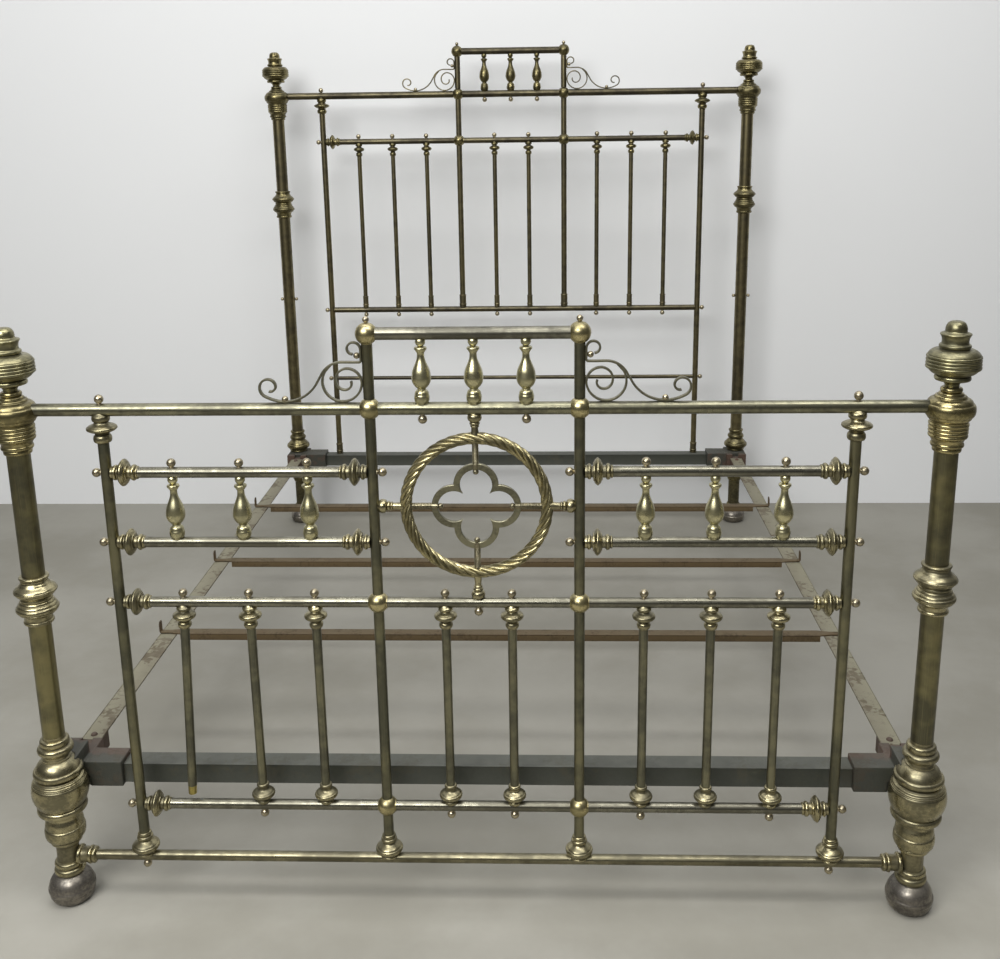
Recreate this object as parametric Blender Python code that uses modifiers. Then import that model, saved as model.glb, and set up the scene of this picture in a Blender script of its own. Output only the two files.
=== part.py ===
"""Brass and iron bedstead: two tube ends, two angle-iron side rails and three cross laths.

Metres, +Z up. X runs across the bed, the foot end faces -Y and the head end is at +Y. The origin is on
the floor, under the middle of the bed. A piece that touches another stops GAP short of it.
"""
import math

import bmesh
import bpy

# Driving sizes: the bed as a whole
POST_SPACING = 1.520
LENGTH = 1.933
GAP = 0.0003

# Heights of the foot end's members, on their axes
FOOT_CREST_Z = 1.052
FOOT_TOP_Z = 0.928
GALLERY_TOP_Z = 0.820
GALLERY_LOW_Z = 0.697
FOOT_MIDDLE_Z = 0.588
FOOT_LOWER_Z = 0.196
FOOT_BOTTOM_Z = 0.089

# Heights of the head end's members, on their axes
HEAD_CREST_Z = 1.591
HEAD_TOP_Z = 1.459
HEAD_UPPER_Z = 1.313
HEAD_LOWER_Z = 0.757
HEAD_THIN_Z = 0.519
HEAD_BOLT_Z = 0.796

# Upright members, measured across from the middle
END_BAR_X = 0.615
UPRIGHT_X = 0.1705
SPINDLE_PITCH = 0.0845
FOOT_BALUSTER_START = 0.279
FOOT_BALUSTER_PITCH = 0.113
HEAD_BAR_START = 0.278
HEAD_BAR_PITCH = 0.1108
SIDE_BAR_COUNT = 3

# Radii of the tubes
POST_R = 0.0195
TOP_RAIL_R = 0.0107
CREST_R = 0.0105
RAIL_R = 0.0092
UPRIGHT_R = 0.0090
END_BAR_R = 0.0092
BALUSTER_R = 0.0075
HEAD_BAR_R = 0.0070
HEAD_THIN_R = 0.0065
JOINT_BALL_R = 0.0182
KNOB_R = 0.0075

# The turned post
BULB_R = 0.052
CROWN_BALL_R = 0.0385
FINIAL_R = 0.045
FINIAL_H = 0.1065
CROWN_DROP = 0.007
FOOT_SHAFT_Z = 0.333
FOOT_COLLAR_LEFT_Z = 0.591
FOOT_COLLAR_RIGHT_Z = 0.611
HEAD_COLLAR_Z = 1.111
FOOT_TUBE_R = 0.020

# Rolled iron
BAR_TOP_Z = 0.250
BAR_SIZE = 0.038
BAR_WALL = 0.005
FOOT_BAR_FRONT = 0.039
HEAD_BAR_BACK = -0.010
RAIL_OUTSET = 0.010
LATH_WIDTH = 0.026
LATH_DROP = 0.016
LATH_WALL = 0.003
LATH_HOOK = 0.028
LATH_HOOK_W = 0.014
FIRST_LATH = 0.560
LATH_PITCH = 0.415
LATH_NAMES = ("lath_foot", "lath_middle", "lath_head")

# Corner castings, measured from the post's axis: inward along X, and towards the bed's middle along Y
BLOCK_TOP_Z = 0.260
BLOCK_BOTTOM_Z = 0.208
BLOCK_REACH = 0.102
BLOCK_INNER = 0.038
BLOCK_OUTER = -0.027
FOOT_BLOCK_FRONT = 0.030
FOOT_BLOCK_FACE = 0.108
HEAD_BLOCK_BACK = -0.027
HEAD_ARM_FACE = 0.047
HEAD_BLOCK_FACE = 0.064
SHOULDER_TOP_Z = 0.284
SLOT_DEPTH = 0.020
SLOT_MOUTH = 0.018
SLOT_BACK = 0.028
SLOT_FLOOR_Z = 0.222
RAIL_SHOE = 0.050

# The rope ring and its quatrefoil
RING_Z = 0.7605
RING_R = 0.117
RING_TUBE_R = 0.010
LOBE_OFFSET = 0.037
LOBE_R = 0.0315
LOBE_STRIP = 0.0095
LOBE_THICK = 0.0055
ROD_R = 0.0048

# Scroll strips
STRIP_THICK = 0.0026
STRIP_WIDTH = 0.008

# Fineness of the turned shapes
POST_STEPS = 10
RAIL_STEPS = 8
SMALL_STEPS = 6
KNOB_STEPS = 5

MM = 0.001
Y_SHIFT = (BULB_R - FINIAL_R) / 2
FOOT_Y = -LENGTH / 2 + Y_SHIFT
HEAD_Y = FOOT_Y + LENGTH
POST_X = POST_SPACING / 2
RAIL_OUTER_X = POST_X + RAIL_OUTSET
RAIL_INNER_X = RAIL_OUTER_X - BAR_SIZE
HEAD_BAR_BALL_R = 0.0155
SIDES = (("left", -1), ("right", 1))

TURN_TO = {
    "X": (0.0, math.pi / 2, 0.0),
    "-X": (0.0, -math.pi / 2, 0.0),
    "Z": (0.0, 0.0, 0.0),
    "-Z": (math.pi, 0.0, 0.0),
}

FINISHES = {
    "brass": ((0.42, 0.36, 0.17), 0.32, 1.0),
    "bright_brass": ((0.55, 0.46, 0.22), 0.25, 1.0),
    "painted_iron": ((0.10, 0.11, 0.09), 0.55, 0.0),
    "rusty_casting": ((0.17, 0.13, 0.11), 0.80, 0.0),
    "worn_rail": ((0.33, 0.31, 0.26), 0.75, 0.0),
    "lath_iron": ((0.24, 0.18, 0.11), 0.75, 0.0),
}


# Scene and helpers

def clear_scene():
    for obj in list(bpy.data.objects):
        bpy.data.objects.remove(obj)


def new_collection(name):
    collection = bpy.data.collections.new(name)
    bpy.context.scene.collection.children.link(collection)
    return collection


def new_material(name):
    colour, roughness, metallic = FINISHES[name]
    material = bpy.data.materials.new(name)
    material.use_nodes = True
    shader = material.node_tree.nodes["Principled BSDF"]
    shader.inputs["Base Color"].default_value = (*colour, 1.0)
    shader.inputs["Roughness"].default_value = roughness
    shader.inputs["Metallic"].default_value = metallic
    return material


clear_scene()
PARTS = new_collection("bedstead")
CUTTERS = new_collection("cutters")
MATERIALS = {name: new_material(name) for name in FINISHES}


def as_part(obj, finish):
    """Puts an object among the bed's pieces with its finish."""
    CUTTERS.objects.unlink(obj)
    PARTS.objects.link(obj)
    obj.hide_render = False
    obj.display_type = "TEXTURED"
    obj.data.materials.append(MATERIALS[finish])
    return obj


def helper_object(name, mesh):
    """A hidden object: it stays a helper unless as_part moves it among the pieces."""
    obj = bpy.data.objects.new(name, mesh)
    CUTTERS.objects.link(obj)
    obj.hide_render = True
    obj.display_type = "WIRE"
    return obj


def turned(name, profile, steps, origin, axis="Z"):
    """A solid of revolution. The profile is (radius, height) from its top to its bottom, along axis."""
    mesh = bpy.data.meshes.new(name)
    points = [(radius, 0.0, height) for radius, height in profile]
    edges = [(i, i + 1) for i in range(len(points) - 1)]
    mesh.from_pydata(points, edges, [])
    obj = helper_object(name, mesh)
    obj.location = origin
    obj.rotation_euler = TURN_TO[axis]
    screw = obj.modifiers.new("turn", "SCREW")
    screw.steps = steps
    screw.render_steps = steps
    screw.use_merge_vertices = True
    screw.merge_threshold = 0.00001
    return obj


def rod(name, start, end, radius, steps, origin=(0.0, 0.0, 0.0), axis="Z"):
    """A plain round bar along axis, from height start up to end."""
    return turned(name, [(0, end), (radius, end), (radius, start), (0, start)], steps, origin, axis)


def box(name, low, high):
    mesh = bpy.data.meshes.new(name)
    cube = bmesh.new()
    bmesh.ops.create_cube(cube, size=1.0)
    for vertex in cube.verts:
        for i in range(3):
            vertex.co[i] *= high[i] - low[i]
    cube.to_mesh(mesh)
    cube.free()
    obj = helper_object(name, mesh)
    obj.location = [(a + b) / 2 for a, b in zip(low, high)]
    return obj


def ribbon(name, path, thickness, width, origin, turn=0.0, closed=False):
    """A strip of even thickness along a path in the XZ plane, with its width along Y."""
    mesh = bpy.data.meshes.new(name)
    strip = bmesh.new()
    points = [strip.verts.new((x, -width / 2, z)) for x, z in path]
    pairs = list(zip(points, points[1:]))
    if closed:
        pairs.append((points[-1], points[0]))
    edges = [strip.edges.new(pair) for pair in pairs]
    grown = bmesh.ops.extrude_edge_only(strip, edges=edges)["geom"]
    moved = [item for item in grown if isinstance(item, bmesh.types.BMVert)]
    bmesh.ops.translate(strip, verts=moved, vec=(0.0, width, 0.0))
    bmesh.ops.recalc_face_normals(strip, faces=strip.faces)
    strip.to_mesh(mesh)
    strip.free()
    obj = helper_object(name, mesh)
    obj.location = origin
    obj.rotation_euler = (0.0, 0.0, turn)
    shell = obj.modifiers.new("thickness", "SOLIDIFY")
    shell.thickness = thickness
    shell.offset = 0.0
    shell.use_even_offset = True
    return obj


def prism(name, outline, low, high, origin):
    """An upright block with a flat outline in the XY plane, from height low to high."""
    mesh = bpy.data.meshes.new(name)
    block = bmesh.new()
    corners = [block.verts.new((x, y, low)) for x, y in outline]
    face = block.faces.new(corners)
    grown = bmesh.ops.extrude_face_region(block, geom=[face])["geom"]
    moved = [item for item in grown if isinstance(item, bmesh.types.BMVert)]
    bmesh.ops.translate(block, verts=moved, vec=(0.0, 0.0, high - low))
    bmesh.ops.recalc_face_normals(block, faces=block.faces)
    block.to_mesh(mesh)
    block.free()
    obj = helper_object(name, mesh)
    obj.location = origin
    return obj


def join(base, *others):
    for other in others:
        modifier = base.modifiers.new("with " + other.name[:40], "BOOLEAN")
        modifier.operation = "UNION"
        modifier.object = other
    return base


def cut(base, *others):
    for other in others:
        modifier = base.modifiers.new("less " + other.name[:40], "BOOLEAN")
        modifier.operation = "DIFFERENCE"
        modifier.object = other
    return base


# Turned outlines, as (radius, height) from top to bottom

def shifted(profile, height):
    return [(radius, z + height) for radius, z in profile]


def ball(radius, neck, centre, count=5):
    """A ball on a stem of radius neck, centred at a height."""
    first = math.asin(neck / radius)
    steps = [first + (math.pi - 2 * first) * i / (count - 1) for i in range(count)]
    return [(radius * math.sin(t), centre + radius * math.cos(t)) for t in steps]


def oval(radius, half_height, neck, centre, count=5):
    """A flattened ball on a stem of radius neck."""
    return [(r, centre + (z - centre) * half_height / radius) for r, z in ball(radius, neck, centre, count)]


def dish(radius, ball_z, side):
    """The hollow end of a stem that seats on a joint ball: side is 1 above the ball and -1 below it."""
    seat = JOINT_BALL_R + GAP
    radii = (0.0, radius * 0.55, radius)
    points = [(r, ball_z + side * math.sqrt(seat * seat - r * r)) for r in radii]
    return points[::-1] if side > 0 else points


def rail_collar(end, radius):
    """The ring, disc and ring at the +X end of a rail, from its end face inwards."""
    steps = ((0, 0), (11.5, 0), (13.5, 9), (10, 15), (22.5, 22.5), (22.5, 24.5), (10, 33), (13.5, 41))
    return [(r * MM, end - x * MM) for r, x in steps] + [(radius, end - 51 * MM)]


def mirrored(half):
    return half + [(radius, -height) for radius, height in reversed(half)]


def spindle(top):
    """A vase-shaped spindle, from the underside of its upper rail."""
    steps = ((0, -4), (7.5, -4), (8, 5), (4, 10), (10.2, 19), (5.5, 27), (14.6, 60), (14, 68), (4.8, 85))
    tail = ((11.5, 97), (10, 109), (0, 109))
    return [(r * MM, top - z * MM) for r, z in steps + tail]


def baluster_head(axis_z, scale=1.0):
    """The collar under an upper rail, from the rail's axis down to the plain tube."""
    steps = ((0, 0), (9.5, 0), (10, 15), (18.5, 25), (9, 34.5), (10.5, 43), (7.5, 51))
    return [(r * MM * scale, axis_z - z * MM) for r, z in steps]


def baluster_foot(axis_z, radius):
    """The collar over a lower rail, from the plain tube down to the rail's axis."""
    steps = ((11, 39), (9, 34), (19.3, 22.5), (15, 12), (11, 2), (0, 2))
    return [(radius, axis_z + 44 * MM)] + [(r * MM, axis_z + z * MM) for r, z in steps]


def end_bar_head(axis_z):
    """The flanged collar of an end bar, from the top rail's axis down to the plain tube."""
    steps = ((0, 0), (11, 0), (13, 19), (11, 24), (24, 33), (11, 41), (15, 50))
    return [(r * MM, axis_z - z * MM) for r, z in steps] + [(END_BAR_R, axis_z - 59 * MM)]


def wide_foot(axis_z, radius):
    """The wide collar over the bottom rail, from the plain tube down to the rail's axis."""
    steps = ((14.6, 40), (11, 34), (23.8, 20), (17, 6), (12, 2), (0, 2))
    return [(radius, axis_z + 45 * MM)] + [(r * MM, axis_z + z * MM) for r, z in steps]


def crown(top_z):
    """The turned crown of a post, from the joint under its finial down to the plain tube."""
    steps = ((0, 0), (12, 0), (17.5, 4), (18, 10), (38.5, 26), (38.5, 46), (33, 57), (33, 85), (25, 92), (22.5, 106))
    return [(r * MM, top_z - z * MM) for r, z in steps] + [(POST_R, top_z - 107 * MM)]


def shaft_collar(centre):
    steps = ((24.5, 47), (25, 40), (35, 26), (27, 0), (35, -26), (25, -40), (24.5, -47))
    ends = [(POST_R, centre + 48 * MM)], [(POST_R, centre - 48 * MM)]
    return ends[0] + [(r * MM, centre + z * MM) for r, z in steps] + ends[1]


def foot_vase():
    """The vase and bun foot of a foot post, from the plain tube down to the floor."""
    vase = ((24, 333), (27, 312), (30, 294), (22, 281), (22, 268), (42.5, 254), (42.5, 246))
    bulb = ((52, 225), (52, 196), (44, 171), (30, 158), (36, 130), (27, 112), (20, 108))
    foot = ((20, 64), (28.5, 52), (28.5, 44), (44, 26), (44, 12), (36, 0), (0, 0))
    return [(POST_R, FOOT_SHAFT_Z)] + [(r * MM, z * MM) for r, z in vase + bulb + foot]


def head_vase():
    """The collar on the corner block, the lower tube and the bun foot of a head post."""
    seat = BLOCK_TOP_Z + GAP
    above = [(POST_R, 0.333), (0.026, 0.330), (0.030, 0.312), (0.026, 0.300), (0.039, 0.282), (0.039, 0.272)]
    through = [(0.030, seat), (POST_R, seat), (POST_R, 0.178), (0.025, 0.170), (0.025, 0.152), (POST_R, 0.144)]
    foot = ((19.5, 64), (26, 52), (26, 44), (40, 26), (40, 12), (33, 0), (0, 0))
    return above + through + [(r * MM, z * MM) for r, z in foot]


def finial(base):
    """The reeded disc and dome that screws on a crown, its base at a height."""
    steps = ((0, 106.5), (13, 104), (22, 95), (25, 87), (22, 76), (25, 66), (45, 58), (45, 24), (29, 15), (12, 5), (12, 0))
    return [(r * MM, base + z * MM) for r, z in steps] + [(0, base)]


# Small repeated pieces

def knob(name, origin, axis, rail_r, radius=KNOB_R):
    """A round nut on the outside of a tube, its stem sunk in the tube's wall."""
    centre = rail_r + radius * 1.05
    stem = rail_r - 0.0025
    side = radius * 0.5
    profile = [(0, centre + radius), (radius * 0.92, centre + side), (radius * 0.92, centre - side)]
    profile += [(radius * 0.5, stem), (0, stem)]
    return turned(name, profile, KNOB_STEPS, origin, axis)


def bar_places(start, pitch):
    """Where the upright bars stand across an end, from left to right."""
    side = [start + i * pitch for i in range(SIDE_BAR_COUNT)]
    middle = pitch / 2
    return [-x for x in reversed(side)] + [-middle, middle] + side


FOOT_BARS = bar_places(FOOT_BALUSTER_START, FOOT_BALUSTER_PITCH)
HEAD_BARS = bar_places(HEAD_BAR_START, HEAD_BAR_PITCH)
CREST_BARS = (-SPINDLE_PITCH, 0.0, SPINDLE_PITCH)


def rail_cutter(name, z, y, radius):
    """The room that a rail across the bed takes from what seats on it."""
    return rod(name + "_room", -POST_X, POST_X, radius + GAP, RAIL_STEPS, (0.0, y, z), "X")


def pair_of_rooms(name, x, y, radius, low, high, steps=RAIL_STEPS):
    """The room that a left and a right upright take from the rails that end on them."""
    places = [(side, (sign * x, y, 0.0)) for side, sign in SIDES]
    return [rod(f"{name}_{side}_room", low, high, radius + GAP, steps, at) for side, at in places]


FOOT_TOP_ROOM = rail_cutter("foot_top", FOOT_TOP_Z, FOOT_Y, TOP_RAIL_R)
FOOT_MIDDLE_ROOM = rail_cutter("foot_middle", FOOT_MIDDLE_Z, FOOT_Y, RAIL_R)
FOOT_LOWER_ROOM = rail_cutter("foot_lower", FOOT_LOWER_Z, FOOT_Y, RAIL_R)
FOOT_BOTTOM_ROOM = rail_cutter("foot_bottom", FOOT_BOTTOM_Z, FOOT_Y, RAIL_R)
HEAD_TOP_ROOM = rail_cutter("head_top", HEAD_TOP_Z, HEAD_Y, TOP_RAIL_R)
HEAD_UPPER_ROOM = rail_cutter("head_upper", HEAD_UPPER_Z, HEAD_Y, RAIL_R)
HEAD_LOWER_ROOM = rail_cutter("head_lower", HEAD_LOWER_Z, HEAD_Y, RAIL_R)


FOOT_END_ROOMS = pair_of_rooms("foot_end_bar", END_BAR_X, FOOT_Y, END_BAR_R, 0.05, 1.0)
HEAD_END_ROOMS = pair_of_rooms("head_end_bar", END_BAR_X, HEAD_Y, END_BAR_R, 0.20, 1.6)
FOOT_UPRIGHT_ROOMS = pair_of_rooms("foot_upright", UPRIGHT_X, FOOT_Y, UPRIGHT_R, 0.20, 1.0)
FOOT_CROWN_ROOMS = pair_of_rooms("foot_crown", POST_X, FOOT_Y, CROWN_BALL_R, 0.88, 0.98, POST_STEPS)
HEAD_CROWN_ROOMS = pair_of_rooms("head_crown", POST_X, HEAD_Y, CROWN_BALL_R, 1.41, 1.51, POST_STEPS)
FOOT_SHANK_ROOMS = pair_of_rooms("foot_shank", POST_X, FOOT_Y, FOOT_TUBE_R, 0.07, 0.108, POST_STEPS)


# Posts and corner castings

def finial_base(rail_z):
    """Where a finial screws on, over the ball that a top rail meets."""
    return rail_z - CROWN_DROP + 0.0395


def post_profile(rail_z, collar_z, lower):
    crown_top = finial_base(rail_z) - GAP
    return crown(crown_top) + shaft_collar(collar_z) + lower


def make_post(end, side, sign):
    at_foot = end == "foot"
    rail_z = FOOT_TOP_Z if at_foot else HEAD_TOP_Z
    collar_z = (FOOT_COLLAR_LEFT_Z if sign < 0 else FOOT_COLLAR_RIGHT_Z) if at_foot else HEAD_COLLAR_Z
    lower = foot_vase() if at_foot else head_vase()
    origin = (sign * POST_X, FOOT_Y if at_foot else HEAD_Y, 0.0)
    post = turned(f"{end}_post_{side}", post_profile(rail_z, collar_z, lower), POST_STEPS, origin)
    if not at_foot:
        for label, axis in (("a", "X"), ("b", "-X")):
            at = (origin[0], origin[1], HEAD_BOLT_Z)
            join(post, knob(f"head_bolt_{side}_{label}", at, axis, POST_R, 0.006))
    as_part(post, "brass")
    cap = turned(f"{end}_finial_{side}", finial(finial_base(rail_z)), POST_STEPS, origin)
    as_part(cap, "bright_brass")


def slot_outline(direction, spare):
    """The dovetail's outline, widening into the block. It shrinks by spare on every side."""
    mouth = SLOT_MOUTH / 2 - spare
    back = SLOT_BACK / 2 - spare
    end = direction * (SLOT_DEPTH - 2 * spare)
    return [(-mouth, 0.0), (mouth, 0.0), (back, end), (-back, end)]


def rail_middle_x(sign):
    return sign * (RAIL_OUTER_X + RAIL_INNER_X) / 2


def make_corner_block(end, side, sign):
    """The casting that ties a post, a cross bar and a side rail together, with its dovetail slot."""
    at_foot = end == "foot"
    post_y = FOOT_Y if at_foot else HEAD_Y
    inward = 1 if at_foot else -1
    back, face = (FOOT_BLOCK_FRONT, FOOT_BLOCK_FACE) if at_foot else (HEAD_BLOCK_BACK, HEAD_BLOCK_FACE)
    arm_face = min(face, FOOT_BAR_FRONT + BAR_SIZE) if at_foot else HEAD_ARM_FACE
    arm_back = back if at_foot else HEAD_BAR_BACK - 0.003

    def span(x0, x1, y0, y1, z0, z1):
        xs = sorted((sign * (POST_X - x0), sign * (POST_X - x1)))
        ys = sorted((post_y + inward * y0, post_y + inward * y1))
        return (xs[0], ys[0], z0), (xs[1], ys[1], z1)

    name = f"{end}_corner_block_{side}"
    block = box(name, *span(BLOCK_OUTER, BLOCK_INNER, back, face, BLOCK_BOTTOM_Z, BLOCK_TOP_Z))
    arm = box(name + "_arm", *span(0.03, BLOCK_REACH, arm_back, arm_face, BLOCK_BOTTOM_Z + 0.001, BLOCK_TOP_Z - 0.001))
    join(block, arm)
    if at_foot:
        shoulder = span(BLOCK_OUTER + 0.004, BLOCK_INNER - 0.006, 0.002, 0.062, BLOCK_BOTTOM_Z + 0.02, SHOULDER_TOP_Z)
        join(block, box(name + "_shoulder", *shoulder))
        envelope = [(0, 0.40), (0.0304, 0.40), (0.0304, 0.272), (0.0429, 0.262), (0.0430, 0.2458)]
        envelope += [(BULB_R + 0.0004, 0.226), (BULB_R + 0.0004, 0.170), (0, 0.170)]
        cut(block, turned(name + "_post_room", envelope, POST_STEPS, (sign * POST_X, post_y, 0.0)))
    else:
        room = rod(name + "_post_room", 0.15, 0.30, POST_R + GAP, POST_STEPS, (sign * POST_X, post_y, 0.0))
        cut(block, room)
    mouth = (rail_middle_x(sign), post_y + inward * (face + GAP), 0.0)
    cut(block, prism(name + "_slot", slot_outline(-inward, 0.0), SLOT_FLOOR_Z, BLOCK_TOP_Z + 0.02, mouth))
    as_part(block, "rusty_casting")


def make_cross_bar(end):
    """Angle iron between two corner blocks: a top flange and an upright web."""
    at_foot = end == "foot"
    half = POST_X - BLOCK_REACH - GAP
    y = FOOT_Y + FOOT_BAR_FRONT if at_foot else HEAD_Y - HEAD_BAR_BACK - BAR_SIZE
    wall = BAR_WALL / 2
    path = [(BAR_SIZE, BAR_TOP_Z - wall), (wall, BAR_TOP_Z - wall), (wall, BAR_TOP_Z - BAR_SIZE)]
    bar = ribbon(f"{end}_cross_bar", path, BAR_WALL, 2 * half, (0.0, y, 0.0), math.pi / 2)
    as_part(bar, "painted_iron")


# Side rails and laths

def make_side_rail(side, sign):
    """Angle iron with its web outside, and at each end a cast shoe with a dovetail tongue."""
    wall = BAR_WALL / 2
    start = FOOT_Y + FOOT_BLOCK_FACE + GAP + 0.010
    end = HEAD_Y - HEAD_BLOCK_FACE - GAP - 0.010
    middle = rail_middle_x(sign)
    outer = RAIL_OUTER_X - abs(middle)
    path = [(-sign * outer, -wall), (sign * (outer - wall), -wall), (sign * (outer - wall), -BAR_SIZE)]
    origin = (middle, (start + end) / 2, BAR_TOP_Z)
    rail = ribbon(f"side_rail_{side}", path, BAR_WALL, end - start, origin)
    for label, face, inward in (("foot", FOOT_Y + FOOT_BLOCK_FACE, 1), ("head", HEAD_Y - HEAD_BLOCK_FACE, -1)):
        near = face + inward * GAP
        far = face + inward * RAIL_SHOE
        low = (middle - outer + 0.001, min(near, far), SLOT_FLOOR_Z - 0.008)
        high = (middle + outer - 0.001, max(near, far), BAR_TOP_Z - 0.0015)
        shoe = box(f"shoe_{side}_{label}", low, high)
        left, right, back_right, back_left = slot_outline(-inward, GAP)
        root = [(left[0], inward * 0.004), (right[0], inward * 0.004), right, back_right, back_left, left]
        seat = (middle, face, 0.0)
        key = prism(f"tongue_{side}_{label}", root, SLOT_FLOOR_Z + GAP, BAR_TOP_Z - 0.002, seat)
        cap = [(0, 0.005), (0.005, 0.0035), (0.0075, -0.003), (0, -0.003)]
        rivet = turned(f"rivet_{side}_{label}", cap, SMALL_STEPS, (middle, face + inward * 0.026, BAR_TOP_Z))
        join(rail, shoe, key, rivet)
    as_part(rail, "worn_rail")


def make_lath(name, y):
    """A thin angle-iron lath lying on both side rails, its flange ends turned up as hooks."""
    reach = RAIL_OUTER_X
    wall = LATH_WALL / 2
    base = BAR_TOP_Z + GAP
    path = [(-reach, base + LATH_HOOK), (-reach, base + wall), (reach, base + wall), (reach, base + LATH_HOOK)]
    strap = ribbon(name, [(x, z - base) for x, z in path], LATH_WALL, LATH_HOOK_W, (0.0, y, base))
    inside = RAIL_INNER_X - 0.030
    flange_low = (-reach + 0.02, y - LATH_WIDTH / 2, base + 0.0002)
    flange_high = (reach - 0.02, y + LATH_WIDTH / 2, base + LATH_WALL + 0.0002)
    web_low = (-inside, y - LATH_WIDTH / 2 + 0.0003, base + LATH_WALL - LATH_DROP)
    web_high = (inside, y - LATH_WIDTH / 2 + 0.0003 + LATH_WALL, base + LATH_WALL - 0.0005)
    join(strap, box(name + "_flange", flange_low, flange_high), box(name + "_web", web_low, web_high))
    as_part(strap, "lath_iron")


# Foot end

def make_foot_top_rail():
    """The top rail between the crowns, with the two joint balls that the centre uprights meet."""
    half = [(0, POST_X - 0.020), (TOP_RAIL_R, POST_X - 0.020)] + ball(JOINT_BALL_R, TOP_RAIL_R, UPRIGHT_X)
    rail = turned("foot_top_rail", mirrored(half), RAIL_STEPS, (0.0, FOOT_Y, FOOT_TOP_Z), "X")
    for side, sign in SIDES:
        join(rail, knob(f"foot_top_knob_{side}", (sign * END_BAR_X, FOOT_Y, FOOT_TOP_Z), "Z", TOP_RAIL_R))
        join(rail, knob(f"foot_under_knob_{side}", (sign * SPINDLE_PITCH, FOOT_Y, FOOT_TOP_Z), "-Z", TOP_RAIL_R))
    as_part(cut(rail, *FOOT_CROWN_ROOMS), "brass")


def make_crest(end, crest_z, rail_z, room):
    """The raised middle of an end: a short rail with ball corners, its uprights and three spindles."""
    y = FOOT_Y if end == "foot" else HEAD_Y
    half = ball(JOINT_BALL_R, CREST_R, UPRIGHT_X)
    top = UPRIGHT_X + JOINT_BALL_R
    outer = [(0, top), (JOINT_BALL_R * 0.5, UPRIGHT_X + JOINT_BALL_R * 0.87)]
    crest = turned(f"{end}_crest", mirrored(outer + half[1:]), RAIL_STEPS, (0.0, y, crest_z), "X")
    for side, sign in SIDES:
        x = sign * UPRIGHT_X
        stem = [(0, crest_z), (UPRIGHT_R, crest_z)] + dish(UPRIGHT_R, rail_z, 1)
        join(crest, turned(f"{end}_crest_stem_{side}", stem, RAIL_STEPS, (x, y, 0.0)))
        join(crest, knob(f"{end}_crest_knob_{side}", (x, y, crest_z), "Z", JOINT_BALL_R))
    drop = crest_z - CREST_R - (rail_z + TOP_RAIL_R)
    for i, x in enumerate(CREST_BARS):
        bottom = crest_z - CREST_R - drop - 0.006
        vase = stretched(spindle(crest_z - CREST_R), bottom)
        join(crest, turned(f"{end}_crest_spindle_{i}", vase, SMALL_STEPS, (x, y, 0.0)))
    as_part(cut(crest, room), "brass")


def stretched(profile, bottom):
    """The same outline with its lowest point moved to a height."""
    top = profile[0][1]
    scale = (top - bottom) / (top - profile[-1][1])
    return [(radius, top - (top - z) * scale) for radius, z in profile]


def make_gallery(side, sign):
    """Two short rails with collared ends and three vase spindles between them."""
    middle = sign * (END_BAR_X + UPRIGHT_X) / 2
    half_length = (END_BAR_X - UPRIGHT_X) / 2 - 0.0045
    rails = []
    for label, z in (("top", GALLERY_TOP_Z), ("low", GALLERY_LOW_Z)):
        profile = mirrored(rail_collar(half_length, RAIL_R))
        name = f"foot_gallery_{side}" if label == "top" else f"foot_gallery_{side}_low"
        rails.append(turned(name, profile, RAIL_STEPS, (middle, FOOT_Y, z), "X"))
    gallery, low = rails
    join(gallery, low)
    start = GALLERY_TOP_Z - RAIL_R
    for i in range(SIDE_BAR_COUNT):
        x = sign * (FOOT_BALUSTER_START + i * FOOT_BALUSTER_PITCH)
        vase = stretched(spindle(start), GALLERY_LOW_Z + RAIL_R - 0.004)
        join(gallery, turned(f"gallery_spindle_{side}_{i}", vase, SMALL_STEPS, (x, FOOT_Y, 0.0)))
        join(gallery, knob(f"gallery_knob_{side}_{i}", (x, FOOT_Y, GALLERY_TOP_Z), "Z", RAIL_R))
    index = 0 if sign < 0 else 1
    as_part(cut(gallery, FOOT_END_ROOMS[index], FOOT_UPRIGHT_ROOMS[index]), "brass")


def long_rail(name, z, y):
    """A rail from end bar to end bar, with collared ends and a joint ball at each centre upright."""
    half = rail_collar(END_BAR_X - 0.0045, RAIL_R) + ball(JOINT_BALL_R, RAIL_R, UPRIGHT_X)
    return turned(name, mirrored(half), RAIL_STEPS, (0.0, y, z), "X")


def make_foot_middle_rail():
    rail = long_rail("foot_middle_rail", FOOT_MIDDLE_Z, FOOT_Y)
    for i, x in enumerate(FOOT_BARS):
        join(rail, knob(f"foot_middle_knob_{i}", (x, FOOT_Y, FOOT_MIDDLE_Z), "Z", RAIL_R))
    join(rail, knob("foot_middle_knob_under", (0.0, FOOT_Y, FOOT_MIDDLE_Z), "-Z", RAIL_R))
    as_part(cut(rail, *FOOT_END_ROOMS), "brass")


def make_foot_lower_rail():
    """The lower rail. Three of its eight under-knobs are missing on this bed."""
    rail = long_rail("foot_lower_rail", FOOT_LOWER_Z, FOOT_Y)
    for i in (1, 3, 4, 5, 7):
        join(rail, knob(f"foot_lower_knob_{i}", (FOOT_BARS[i], FOOT_Y, FOOT_LOWER_Z), "-Z", RAIL_R))
    as_part(cut(rail, *FOOT_END_ROOMS), "brass")


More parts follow.
